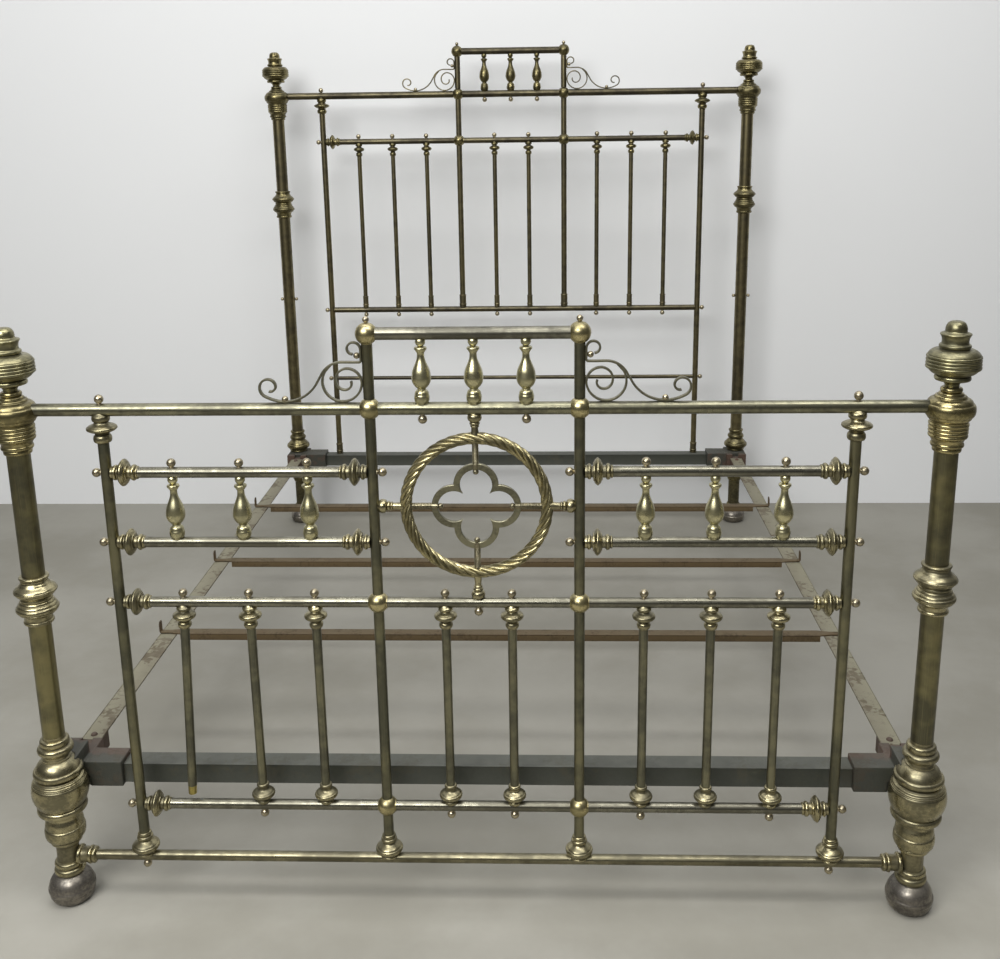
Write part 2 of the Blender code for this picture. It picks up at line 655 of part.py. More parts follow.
def make_foot_bottom_rail():
    end = POST_X - 0.010
    half = [(0, end), (0.0125, end), (0.0145, end - 0.018), (0.0185, end - 0.026), (0.0185, end - 0.030)]
    half += [(0.0125, end - 0.038), (RAIL_R, end - 0.046)]
    rail = turned("foot_bottom_rail", mirrored(half), RAIL_STEPS, (0.0, FOOT_Y, FOOT_BOTTOM_Z), "X")
    for side, sign in SIDES:
        join(rail, knob(f"foot_bottom_knob_{side}", (sign * END_BAR_X, FOOT_Y, FOOT_BOTTOM_Z), "-Z", RAIL_R))
    as_part(cut(rail, *FOOT_SHANK_ROOMS), "brass")


def make_foot_uprights(side, sign):
    """The centre upright in three lengths, each seated on the joint balls above and below it."""
    origin = (sign * UPRIGHT_X, FOOT_Y, 0.0)
    profile = dish(UPRIGHT_R, FOOT_TOP_Z, -1) + dish(UPRIGHT_R, FOOT_MIDDLE_Z, 1)
    upper = turned(f"foot_upper_upright_{side}", profile, RAIL_STEPS, origin)
    inward = "X" if sign < 0 else "-X"
    for label, z in (("top", GALLERY_TOP_Z), ("low", GALLERY_LOW_Z)):
        join(upper, knob(f"upright_knob_{side}_{label}", (origin[0], FOOT_Y, z), inward, UPRIGHT_R))
    as_part(upper, "brass")
    profile = dish(UPRIGHT_R, FOOT_MIDDLE_Z, -1) + dish(UPRIGHT_R, FOOT_LOWER_Z, 1)
    as_part(turned(f"foot_lower_upright_{side}", profile, RAIL_STEPS, origin), "brass")
    profile = dish(UPRIGHT_R, FOOT_LOWER_Z, -1) + wide_foot(FOOT_BOTTOM_Z, UPRIGHT_R)
    stub = turned(f"foot_upright_base_{side}", profile, RAIL_STEPS, origin)
    as_part(cut(stub, FOOT_BOTTOM_ROOM), "brass")


def make_foot_end_bar(side, sign):
    profile = end_bar_head(FOOT_TOP_Z) + wide_foot(FOOT_BOTTOM_Z, END_BAR_R)
    bar = turned(f"foot_end_bar_{side}", profile, RAIL_STEPS, (sign * END_BAR_X, FOOT_Y, 0.0))
    outward = "-X" if sign < 0 else "X"
    for i, z in enumerate((GALLERY_TOP_Z, GALLERY_LOW_Z, FOOT_MIDDLE_Z, FOOT_LOWER_Z)):
        join(bar, knob(f"foot_end_knob_{side}_{i}", (sign * END_BAR_X, FOOT_Y, z), outward, END_BAR_R))
    as_part(cut(bar, FOOT_TOP_ROOM, FOOT_BOTTOM_ROOM), "brass")


LOOSE_BALUSTER = 1
LOOSE_END_Z = 0.217
LOOSE_LEAN = math.radians(2.3)


def make_foot_baluster(number, x):
    """A baluster between two rails. One has lost its lower collar and hangs short and a little askew."""
    top = baluster_head(0.0)
    if number == LOOSE_BALUSTER:
        low = LOOSE_END_Z - FOOT_MIDDLE_Z
        bottom = [(BALUSTER_R, low + 0.016), (0.0055, low + 0.014), (0.0055, low), (0, low)]
    else:
        bottom = baluster_foot(FOOT_LOWER_Z - FOOT_MIDDLE_Z, BALUSTER_R)
    name = f"foot_baluster_{number}"
    bar = turned(name, top + bottom, SMALL_STEPS, (x, FOOT_Y, FOOT_MIDDLE_Z))
    if number == LOOSE_BALUSTER:
        bar.rotation_euler = (0.0, LOOSE_LEAN, 0.0)
    as_part(cut(bar, FOOT_MIDDLE_ROOM, FOOT_LOWER_ROOM), "brass")


# Ring and quatrefoil

def make_rope_ring():
    """The ring in the foot end, with the four turned mounts that carry it. The twist is left to the finish."""
    mesh = bpy.data.meshes.new("rope_ring")
    outline = [(RING_R + RING_TUBE_R * math.cos(t), 0.0, RING_TUBE_R * math.sin(t)) for t in ring_angles(6)]
    edges = [(i, (i + 1) % len(outline)) for i in range(len(outline))]
    mesh.from_pydata(outline, edges, [])
    ring = helper_object("rope_ring", mesh)
    ring.location = (0.0, FOOT_Y, RING_Z)
    ring.rotation_euler = (math.pi / 2, 0.0, 0.0)
    screw = ring.modifiers.new("turn", "SCREW")
    screw.steps = 32
    screw.render_steps = 32
    screw.use_merge_vertices = True
    screw.merge_threshold = 0.00001
    centre = (0.0, FOOT_Y, RING_Z)
    across = UPRIGHT_X - 0.002
    up = FOOT_TOP_Z - RING_Z
    down = RING_Z - FOOT_MIDDLE_Z
    for label, axis, reach in (("top", "Z", up), ("bottom", "-Z", down), ("left", "-X", across), ("right", "X", across)):
        join(ring, turned(f"ring_mount_{label}", ring_mount(reach), SMALL_STEPS, centre, axis))
    as_part(cut(ring, FOOT_TOP_ROOM, FOOT_MIDDLE_ROOM, *FOOT_UPRIGHT_ROOMS), "brass")


def ring_angles(count):
    return [-2 * math.pi * i / count for i in range(count)]


def ring_mount(reach):
    """A small turned mount from inside the ring's tube out to the member that carries it."""
    start = RING_R + 0.003
    profile = [(0, reach), (0.009, reach), (0.0115, reach - 0.016), (0.0115, reach - 0.022), (0.0075, reach - 0.029)]
    return profile + [(0.006, start), (0, start)]


def make_quatrefoil():
    """Four joined lobes of flat strip, held by four rods that run out to the ring."""
    corner = (LOBE_OFFSET + math.sqrt(2 * LOBE_R**2 - LOBE_OFFSET**2)) / 2
    reach = math.atan2(corner, corner - LOBE_OFFSET)
    path = []
    for quarter in range(4):
        turn = quarter * math.pi / 2
        cx, cz = LOBE_OFFSET * math.cos(turn), LOBE_OFFSET * math.sin(turn)
        angles = [turn - reach + 2 * reach * i / 7 for i in range(7)]
        path += [(cx + LOBE_R * math.cos(a), cz + LOBE_R * math.sin(a)) for a in angles]
    centre = (0.0, FOOT_Y, RING_Z)
    strip = ribbon("quatrefoil", path, LOBE_STRIP, LOBE_THICK, centre, closed=True)
    inside = LOBE_OFFSET + LOBE_R
    outer = RING_R - RING_TUBE_R - 2 * GAP
    for label, axis in (("top", "Z"), ("bottom", "-Z"), ("left", "-X"), ("right", "X")):
        nut = [(ROD_R, inside - 0.003), (0.0062, inside - 0.008), (0.0035, inside - 0.013), (0, inside - 0.013)]
        stem = [(0, outer), (ROD_R, outer)] + nut
        join(strip, turned(f"quatrefoil_rod_{label}", stem, SMALL_STEPS, centre, axis))
    as_part(strip, "brass")


# Scrolls

def arc(cx, cz, start_r, end_r, start, end, count):
    """Points along an arc, or a spiral where the radii differ. Millimetres and degrees."""
    points = []
    for i in range(count):
        t = i / (count - 1)
        angle = math.radians(start + (end - start) * t)
        radius = start_r + (end_r - start_r) * t
        points.append((cx + radius * math.cos(angle), cz + radius * math.sin(angle)))
    return points


def scroll_sweep(scale):
    """The long strip: a curl by the upright, a square corner, an S-curve to the rail and an end curl."""
    upper_curl = arc(-22.5, 99.0, 8.5, 12.0, -90, -360, 8)
    shoulder = arc(-42.0, 38.6, 38.4, 38.4, 90, 158, 4)
    sweep = arc(-137.3, 74.35, 62.0, 62.0, -36, -116, 5)
    end_curl = arc(-162.5, 36.5, 17.3, 6.5, -105, -440, 10)
    return [(x * MM * scale, z * MM * scale) for x, z in upper_curl + [(-10.5, 77.0)] + shoulder + sweep + end_curl]


def scroll_spiral(scale):
    """The second strip: it leaves the S-curve, rounds the rail and the upright and winds inwards."""
    outer = arc(-42.5, 44.4, 32.0, 32.0, 140, 340, 7)
    inner = arc(-36.0, 44.4, 25.5, 8.0, 0, 370, 10)
    return [(x * MM * scale, z * MM * scale) for x, z in [(-62.0, 71.5)] + outer + inner]


def make_scroll(end, side, sign, rail_z, y):
    origin = (sign * UPRIGHT_X, y, rail_z)
    paths = [[(-sign * x, z) for x, z in path] for path in (scroll_sweep(1.0), scroll_spiral(1.0))]
    scroll = ribbon(f"{end}_scroll_{side}", paths[0], STRIP_THICK, STRIP_WIDTH, origin)
    inner = ribbon(f"{end}_scroll_{side}_spiral", paths[1], STRIP_THICK, STRIP_WIDTH - 0.0006, origin)
    join(scroll, inner)
    bolts = (("upper", -14.4, 88.0, "-X"), ("lower", -137.3, 15.5, "Z"))
    for label, x, z, axis in bolts:
        at = (origin[0] - sign * x * MM, y, rail_z + z * MM)
        head = [(0, 0.0055), (0.0042, 0.0025), (0.0042, -0.001), (0.002, -0.0035), (0, -0.0035)]
        if axis == "-X" and sign > 0:
            axis = "X"
        join(scroll, turned(f"{end}_scroll_{side}_{label}_bolt", head, KNOB_STEPS, at, axis))
    as_part(scroll, "brass")


# Head end

def make_head_top_rail():
    half = [(0, POST_X - 0.020), (TOP_RAIL_R, POST_X - 0.020)] + ball(JOINT_BALL_R, TOP_RAIL_R, UPRIGHT_X)
    rail = turned("head_top_rail", mirrored(half), RAIL_STEPS, (0.0, HEAD_Y, HEAD_TOP_Z), "X")
    for side, sign in SIDES:
        join(rail, knob(f"head_top_knob_{side}", (sign * END_BAR_X, HEAD_Y, HEAD_TOP_Z), "Z", TOP_RAIL_R))
    for i, x in enumerate(CREST_BARS):
        join(rail, knob(f"head_under_knob_{i}", (x, HEAD_Y, HEAD_TOP_Z), "-Z", TOP_RAIL_R))
    as_part(cut(rail, *HEAD_CROWN_ROOMS), "brass")


def make_head_upper_rail():
    rail = long_rail("head_upper_rail", HEAD_UPPER_Z, HEAD_Y)
    for i, x in enumerate(HEAD_BARS):
        join(rail, knob(f"head_upper_knob_{i}", (x, HEAD_Y, HEAD_UPPER_Z), "Z", RAIL_R))
    as_part(cut(rail, *HEAD_END_ROOMS), "brass")


def make_head_thin_rail():
    end = END_BAR_X - 0.0045
    rail = rod("head_thin_rail", -end, end, HEAD_THIN_R, SMALL_STEPS, (0.0, HEAD_Y, HEAD_THIN_Z), "X")
    as_part(cut(rail, *HEAD_END_ROOMS), "brass")


def make_head_grille():
    """The lower rail of the head end with its eight long bars, which reach up to the rail above."""
    end = END_BAR_X - 0.0045
    grille = rod("head_grille", -end, end, RAIL_R, RAIL_STEPS, (0.0, HEAD_Y, HEAD_LOWER_Z), "X")
    for i, x in enumerate(HEAD_BARS):
        sleeve = [(HEAD_BAR_R, HEAD_LOWER_Z + 0.046), (0.0095, HEAD_LOWER_Z + 0.044), (0.0095, HEAD_LOWER_Z)]
        profile = baluster_head(HEAD_UPPER_Z, HEAD_BAR_BALL_R / 0.0175)[:-1] + [(HEAD_BAR_R, HEAD_UPPER_Z - 0.051)]
        profile += sleeve + [(0, HEAD_LOWER_Z)]
        join(grille, turned(f"head_bar_{i}", profile, KNOB_STEPS, (x, HEAD_Y, 0.0)))
        join(grille, knob(f"head_lower_knob_{i}", (x, HEAD_Y, HEAD_LOWER_Z), "-Z", RAIL_R))
    as_part(cut(grille, HEAD_UPPER_ROOM, *HEAD_END_ROOMS), "brass")


def make_head_uprights(side, sign):
    origin = (sign * UPRIGHT_X, HEAD_Y, 0.0)
    profile = dish(UPRIGHT_R, HEAD_TOP_Z, -1) + dish(UPRIGHT_R, HEAD_UPPER_Z, 1)
    as_part(turned(f"head_upper_upright_{side}", profile, RAIL_STEPS, origin), "brass")
    sleeve = [(UPRIGHT_R, HEAD_LOWER_Z + 0.050), (0.0115, HEAD_LOWER_Z + 0.048), (0.0115, HEAD_LOWER_Z), (0, HEAD_LOWER_Z)]
    lower = turned(f"head_lower_upright_{side}", dish(UPRIGHT_R, HEAD_UPPER_Z, -1) + sleeve, RAIL_STEPS, origin)
    as_part(cut(lower, HEAD_LOWER_ROOM), "brass")


def make_head_end_bar(side, sign):
    """The end bar from the top rail down to the iron cross bar, where a plain sleeve seats it."""
    base = BAR_TOP_Z + GAP
    sleeve = [(END_BAR_R, base + 0.036), (0.0115, base + 0.034), (0.0115, base), (0, base)]
    bar = turned(f"head_end_bar_{side}", end_bar_head(HEAD_TOP_Z) + sleeve, RAIL_STEPS, (sign * END_BAR_X, HEAD_Y, 0.0))
    outward = "-X" if sign < 0 else "X"
    for i, z in enumerate((HEAD_UPPER_Z, HEAD_LOWER_Z, HEAD_THIN_Z)):
        join(bar, knob(f"head_end_knob_{side}_{i}", (sign * END_BAR_X, HEAD_Y, z), outward, END_BAR_R))
    as_part(cut(bar, HEAD_TOP_ROOM), "brass")


def make_ends():
    for side, sign in SIDES:
        for end in ("foot", "head"):
            make_post(end, side, sign)
            make_corner_block(end, side, sign)
        make_side_rail(side, sign)
        make_gallery(side, sign)
        make_foot_uprights(side, sign)
        make_foot_end_bar(side, sign)
        make_head_uprights(side, sign)
        make_head_end_bar(side, sign)
        make_scroll("foot", side, sign, FOOT_TOP_Z, FOOT_Y)
        make_scroll("head", side, sign, HEAD_TOP_Z, HEAD_Y)


def make_middle():
    make_cross_bar("foot")
    make_cross_bar("head")
    for i, name in enumerate(LATH_NAMES):
        make_lath(name, FOOT_Y + FIRST_LATH + i * LATH_PITCH)
    make_foot_top_rail()
    make_crest("foot", FOOT_CREST_Z, FOOT_TOP_Z, FOOT_TOP_ROOM)
    make_foot_middle_rail()
    make_foot_lower_rail()
    make_foot_bottom_rail()
    for i, x in enumerate(FOOT_BARS):
        make_foot_baluster(i + 1, x)
    make_rope_ring()
    make_quatrefoil()
    make_head_top_rail()
    make_crest("head", HEAD_CREST_Z, HEAD_TOP_Z, HEAD_TOP_ROOM)
    make_head_upper_rail()
    make_head_thin_rail()
    make_head_grille()


make_ends()
make_middle()
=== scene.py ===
"""Looks of an old brass and iron bedstead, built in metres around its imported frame."""

from __future__ import annotations

import logging
import math
from dataclasses import dataclass, replace
from enum import Enum
from typing import Callable, Iterable, Sequence

import bpy
from mathutils import Matrix, Vector


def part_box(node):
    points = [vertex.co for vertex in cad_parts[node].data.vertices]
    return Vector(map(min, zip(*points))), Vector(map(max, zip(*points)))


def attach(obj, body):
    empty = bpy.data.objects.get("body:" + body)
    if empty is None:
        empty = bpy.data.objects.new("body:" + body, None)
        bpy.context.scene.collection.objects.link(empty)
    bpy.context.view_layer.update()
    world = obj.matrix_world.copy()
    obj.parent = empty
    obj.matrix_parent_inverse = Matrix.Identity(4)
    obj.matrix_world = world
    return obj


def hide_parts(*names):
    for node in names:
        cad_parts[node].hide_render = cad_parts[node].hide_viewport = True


LOG = logging.getLogger("bedstead")
MM = 0.001

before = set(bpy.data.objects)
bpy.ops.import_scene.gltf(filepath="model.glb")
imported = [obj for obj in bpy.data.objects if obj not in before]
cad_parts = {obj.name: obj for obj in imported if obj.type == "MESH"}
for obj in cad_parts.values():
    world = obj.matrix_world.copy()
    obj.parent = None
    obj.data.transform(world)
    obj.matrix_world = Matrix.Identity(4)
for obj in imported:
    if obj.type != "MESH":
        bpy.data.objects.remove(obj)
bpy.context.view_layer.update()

Point = tuple[float, float]
Place = tuple[float, float, float]
Colour = tuple[float, float, float]


class Axis(Enum):
    """Which way the top of a turned shape points."""

    UP = "Z"
    DOWN = "-Z"
    RIGHT = "X"
    LEFT = "-X"

    def matrix(self) -> Matrix:
        """Returns the turn from +Z to this direction."""
        turns = {
            Axis.UP: Matrix.Identity(3),
            Axis.DOWN: Matrix.Rotation(math.pi, 3, "X"),
            Axis.RIGHT: Matrix.Rotation(math.pi / 2, 3, "Y"),
            Axis.LEFT: Matrix.Rotation(-math.pi / 2, 3, "Y"),
        }
        return turns[self]


class Side(Enum):
    """Left or right, seen from the foot end."""

    LEFT = -1
    RIGHT = 1

    @property
    def word(self) -> str:
        """The side's name, as nodes use it."""
        return self.name.lower()

    @property
    def outward(self) -> Axis:
        """The way out of the bed on this side."""
        return Axis.LEFT if self is Side.LEFT else Axis.RIGHT

    @property
    def inward(self) -> Axis:
        """The way to the bed's middle on this side."""
        return Axis.RIGHT if self is Side.LEFT else Axis.LEFT


class End(Enum):
    """The foot end or the head end."""

    FOOT = "foot"
    HEAD = "head"


class Body(Enum):
    """The rigid bodies that pieces ride on."""

    ENDS = "ends"
    LEFT_RAIL = "left_rail"
    RIGHT_RAIL = "right_rail"
    FOOT_LATH = "foot_lath"
    MIDDLE_LATH = "middle_lath"
    HEAD_LATH = "head_lath"


class Slot(Enum):
    """The record's material slots."""

    BRASS = "brass"
    BRIGHT_BRASS = "bright_brass"
    PAINTED_IRON = "painted_iron"
    RUSTY_CASTING = "rusty_casting"
    WORN_RAIL = "worn_rail"
    LATH_IRON = "lath_iron"


# Material graphs


class Graph:
    """A short way to place and join shader nodes in one tree."""

    def __init__(self, tree: bpy.types.NodeTree) -> None:
        """Starts on a tree.

        Args:
            tree: The node tree of a material, a world or a group.
        """
        self.tree = tree

    def add(self, kind: str, inputs: dict | None = None, **settings: object) -> bpy.types.Node:
        """Places a node.

        Args:
            kind: The node's type name, without "ShaderNode".
            inputs: Socket name or index to a value, or to the socket that feeds it.
            settings: Attributes to set on the node.

        Returns:
            The node.
        """
        node = self.tree.nodes.new("ShaderNode" + kind)
        for key, value in settings.items():
            setattr(node, key, value)
        for key, value in (inputs or {}).items():
            self.feed(node.inputs[key], value)
        return node

    def feed(self, socket: bpy.types.NodeSocket, value: object) -> None:
        """Joins a socket to another, or sets its value."""
        if isinstance(value, bpy.types.NodeSocket):
            self.tree.links.new(value, socket)
        else:
            socket.default_value = value

    def mix(self, low: object, high: object, share: object, blend: str = "MIX") -> bpy.types.NodeSocket:
        """Mixes two colours.

        Args:
            low: The colour at share 0.
            high: The colour at share 1.
            share: How much of high.
            blend: Blender's blend mode.

        Returns:
            The mixed colour's socket.
        """
        node = self.add("Mix", data_type="RGBA", blend_type=blend)
        for index, value in ((0, share), (6, low), (7, high)):
            self.feed(node.inputs[index], value if not isinstance(value, tuple) else (*value, 1.0))
        return node.outputs[2]

    def spread(
        self, value: object, low: float, high: float, to_low: object, to_high: object
    ) -> bpy.types.NodeSocket:
        """Maps a value smoothly from one range to another and returns the socket."""
        fields = {"Value": value, "From Min": low, "From Max": high, "To Min": to_low, "To Max": to_high}
        return self.add("MapRange", fields, interpolation_type="SMOOTHSTEP").outputs["Result"]

    def math(self, operation: str, first: object, second: object = 0.0) -> bpy.types.NodeSocket:
        """Does one sum on two values and returns the socket."""
        return self.add("Math", {0: first, 1: second}, operation=operation).outputs[0]


class Effects:
    """The shared node groups, each built once."""

    made: dict[str, bpy.types.NodeTree] = {}

    @classmethod
    def group(
        cls, name: str, sockets: dict[str, tuple], outputs: Sequence[str], build: Callable
    ) -> bpy.types.NodeTree:
        """Builds a group the first time that it is asked for.

        Args:
            name: The group's name.
            sockets: Input name to (socket type, default).
            outputs: The names of the float outputs.
            build: A function of the graph, the input node and the output node.

        Returns:
            The group's tree.
        """
        if name in cls.made:
            return cls.made[name]
        tree = bpy.data.node_groups.new(name, "ShaderNodeTree")
        for label, (kind, default) in sockets.items():
            socket = tree.interface.new_socket(label, in_out="INPUT", socket_type=kind)
            if default is not None:
                socket.default_value = default
        for label in outputs:
            tree.interface.new_socket(label, in_out="OUTPUT", socket_type="NodeSocketFloat")
        graph = Graph(tree)
        build(graph, tree.nodes.new("NodeGroupInput"), tree.nodes.new("NodeGroupOutput"))
        cls.made[name] = tree
        return tree

    @classmethod
    def blotches(cls) -> bpy.types.NodeTree:
        """Returns the group for cloudy patches, from 0 to 1."""

        def build(graph: Graph, given: bpy.types.Node, out: bpy.types.Node) -> None:
            """Two noises, a coarse one broken up by a fine one."""
            coarse = graph.add(
                "TexNoise",
                {"Vector": given.outputs["Vector"], "Scale": given.outputs["Scale"], "Detail": 5.0}
            )
            fine_scale = graph.math("MULTIPLY", given.outputs["Scale"], 7.3)
            fine = graph.add(
                "TexNoise", {"Vector": given.outputs["Vector"], "Scale": fine_scale, "Detail": 3.0}
            )
            part = graph.math("MULTIPLY", fine.outputs["Fac"], 0.35)
            whole = graph.math("ADD", graph.math("MULTIPLY", coarse.outputs["Fac"], 0.65), part)
            node = graph.add(
                "MapRange",
                {"Value": whole, "From Min": given.outputs["Low"], "From Max": given.outputs["High"]}
            )
            graph.feed(out.inputs["Mask"], node.outputs["Result"])

        sockets = {
            "Vector": ("NodeSocketVector", None),
            "Scale": ("NodeSocketFloat", 20.0),
            "Low": ("NodeSocketFloat", 0.4),
            "High": ("NodeSocketFloat", 0.6),
        }
        return cls.group("blotches", sockets, ["Mask"], build)

    @classmethod
    def hairlines(cls) -> bpy.types.NodeTree:
        """Returns the group for fine rubbed lines that run one way."""

        def build(graph: Graph, given: bpy.types.Node, out: bpy.types.Node) -> None:
            """A noise drawn out along the direction that Stretch leaves small."""
            placed = graph.add(
                "VectorMath", {0: given.outputs["Vector"], 1: given.outputs["Stretch"]},
                operation="MULTIPLY"
            )
            noise = graph.add(
                "TexNoise", {"Vector": placed.outputs[0], "Scale": 1.0, "Detail": 4.0, "Roughness": 0.7}
            )
            graph.feed(out.inputs["Height"], noise.outputs["Fac"])
            graph.feed(out.inputs["Mask"], graph.spread(noise.outputs["Fac"], 0.50, 0.68, 0.0, 1.0))

        sockets = {
            "Vector": ("NodeSocketVector", None), "Stretch": ("NodeSocketVector", (900.0, 900.0, 20.0))
        }
        return cls.group("hairlines", sockets, ["Height", "Mask"], build)

    @classmethod
    def hollows(cls) -> bpy.types.NodeTree:
        """Returns the group that finds hollows, where grime stays and shade is painted, and edges, which rub
        bright.
        """

        def build(graph: Graph, given: bpy.types.Node, out: bpy.types.Node) -> None:
            """Reads how sharply the surface turns."""
            shape = graph.add("NewGeometry").outputs["Pointiness"]
            noise = graph.add("TexNoise", {"Vector": given.outputs["Vector"], "Scale": 160.0, "Detail": 3.0})
            wobble = graph.math("MULTIPLY", graph.math("SUBTRACT", noise.outputs["Fac"], 0.5), 0.03)
            value = graph.math("ADD", shape, wobble)
            graph.feed(out.inputs["Hollow"], graph.spread(value, 0.40, 0.492, 1.0, 0.0))
            graph.feed(out.inputs["Edge"], graph.spread(value, 0.512, 0.60, 0.0, 1.0))

        return cls.group("hollows", {"Vector": ("NodeSocketVector", None)}, ["Hollow", "Edge"], build)

    @classmethod
    def top_dust_and_light(cls) -> bpy.types.NodeTree:
        """Returns the group that lightens faces that look up: settled dust, and on the iron also painted top
        light.
        """

        def build(graph: Graph, given: bpy.types.Node, out: bpy.types.Node) -> None:
            """An upward mask broken by noise."""
            normal = graph.add("SeparateXYZ", {0: graph.add("NewGeometry").outputs["Normal"]})
            upward = graph.spread(normal.outputs["Z"], 0.35, 0.95, 0.0, 1.0)
            noise = graph.add("TexNoise", {"Vector": given.outputs["Vector"], "Scale": 45.0, "Detail": 6.0})
            patch = graph.spread(noise.outputs["Fac"], 0.3, 0.7, 0.35, 1.0)
            amount = graph.math("MULTIPLY", upward, graph.math("MULTIPLY", patch, given.outputs["Amount"]))
            graph.feed(out.inputs["Mask"], amount)

        sockets = {"Vector": ("NodeSocketVector", None), "Amount": ("NodeSocketFloat", 0.5)}
        return cls.group("top_dust_and_light", sockets, ["Mask"], build)


@dataclass(frozen=True)
class Finish:
    """What every finish has: a name, and a material that is built once."""

    name: str

    def material(self) -> bpy.types.Material:
        """Returns the finish's material."""
        found = bpy.data.materials.get(self.name)
        if found:
            return found
        material = bpy.data.materials.new(self.name)
        material.use_nodes = True
        graph = Graph(material.node_tree)
        shader = material.node_tree.nodes["Principled BSDF"]
        place = graph.add("TexCoord").outputs["Object"]
        self.dress(graph, shader, place)
        return material

    def dress(self, graph: Graph, shader: bpy.types.Node, place: bpy.types.NodeSocket) -> None:
        """Joins the finish's nodes to the shader."""
        raise NotImplementedError

    @staticmethod
    def placed(graph: Graph, tree: bpy.types.NodeTree, **inputs: object) -> bpy.types.Node:
        """Places a shared group with its own values and returns the node."""
        node = graph.add("Group", node_tree=tree)
        for label, value in inputs.items():
            graph.feed(node.inputs[label.capitalize()], value)
        return node


@dataclass(frozen=True)
class BrassFinish(Finish):
    """Old brass: rubbed and tarnished patches, grime with painted shade in the hollows and fine lines along
    the metal.
    """

    rubbed: Colour = (0.50, 0.44, 0.22)
    tarnished: Colour = (0.20, 0.18, 0.10)
    # Dark colour of the hollows: grime, and painted shade where shade falls in them.
    grime_and_shade: Colour = (0.030, 0.026, 0.014)
    patch_scale: float = 14.0
    patch_low: float = 0.42
    patch_high: float = 0.60
    lines: Place = (500.0, 500.0, 12.0)
    smooth: float = 0.26
    dull: float = 0.44
    grime_and_shade_share: float = 0.85
    edge_share: float = 0.35
    bump: float = 0.05
    metal: float = 1.0
    dust: float = 0.12

    def dress(self, graph: Graph, shader: bpy.types.Node, place: bpy.types.NodeSocket) -> None:
        """Joins the brass's nodes to the shader."""
        patches = self.placed(
            graph, Effects.blotches(), vector=place, scale=self.patch_scale, low=self.patch_low,
            high=self.patch_high
        ).outputs["Mask"]
        lines = self.placed(graph, Effects.hairlines(), vector=place, stretch=self.lines)
        hollows = self.placed(graph, Effects.hollows(), vector=place)
        dust = self.placed(graph, Effects.top_dust_and_light(), vector=place, amount=self.dust).outputs["Mask"]
        worn = graph.math("MULTIPLY", lines.outputs["Mask"], 0.35)
        worn = graph.math("ADD", patches, worn)
        worn = graph.math("ADD", worn, graph.math("MULTIPLY", hollows.outputs["Edge"], self.edge_share))
        worn = graph.add("Clamp", {"Value": worn}).outputs[0]
        colour = graph.mix(self.tarnished, self.rubbed, worn)
        # Painted shade: the hollows darken towards the grime colour, which stands for grime and for the shade
        # that falls in them.
        grime_and_shade_mask = graph.math("MULTIPLY", hollows.outputs["Hollow"], self.grime_and_shade_share)
        colour = graph.mix(colour, self.grime_and_shade, grime_and_shade_mask)
        colour = graph.mix(colour, (0.30, 0.28, 0.23), dust)
        graph.feed(shader.inputs["Base Color"], colour)
        rough = graph.spread(worn, 0.0, 1.0, self.dull, self.smooth)
        rough = graph.math("ADD", rough, graph.math("MULTIPLY", grime_and_shade_mask, 0.25))
        rough = graph.math("ADD", rough, graph.math("MULTIPLY", dust, 0.5))
        graph.feed(shader.inputs["Roughness"], rough)
        metal = graph.math(
            "SUBTRACT", self.metal, graph.math("ADD", graph.math("MULTIPLY", grime_and_shade_mask, 0.5), dust)
        )
        graph.feed(shader.inputs["Metallic"], metal)
        height = graph.math("ADD", lines.outputs["Height"], graph.math("MULTIPLY", patches, -0.4))
        bump = graph.add("Bump", {"Height": height, "Strength": self.bump, "Distance": 0.001})
        graph.feed(shader.inputs["Normal"], bump.outputs[0])


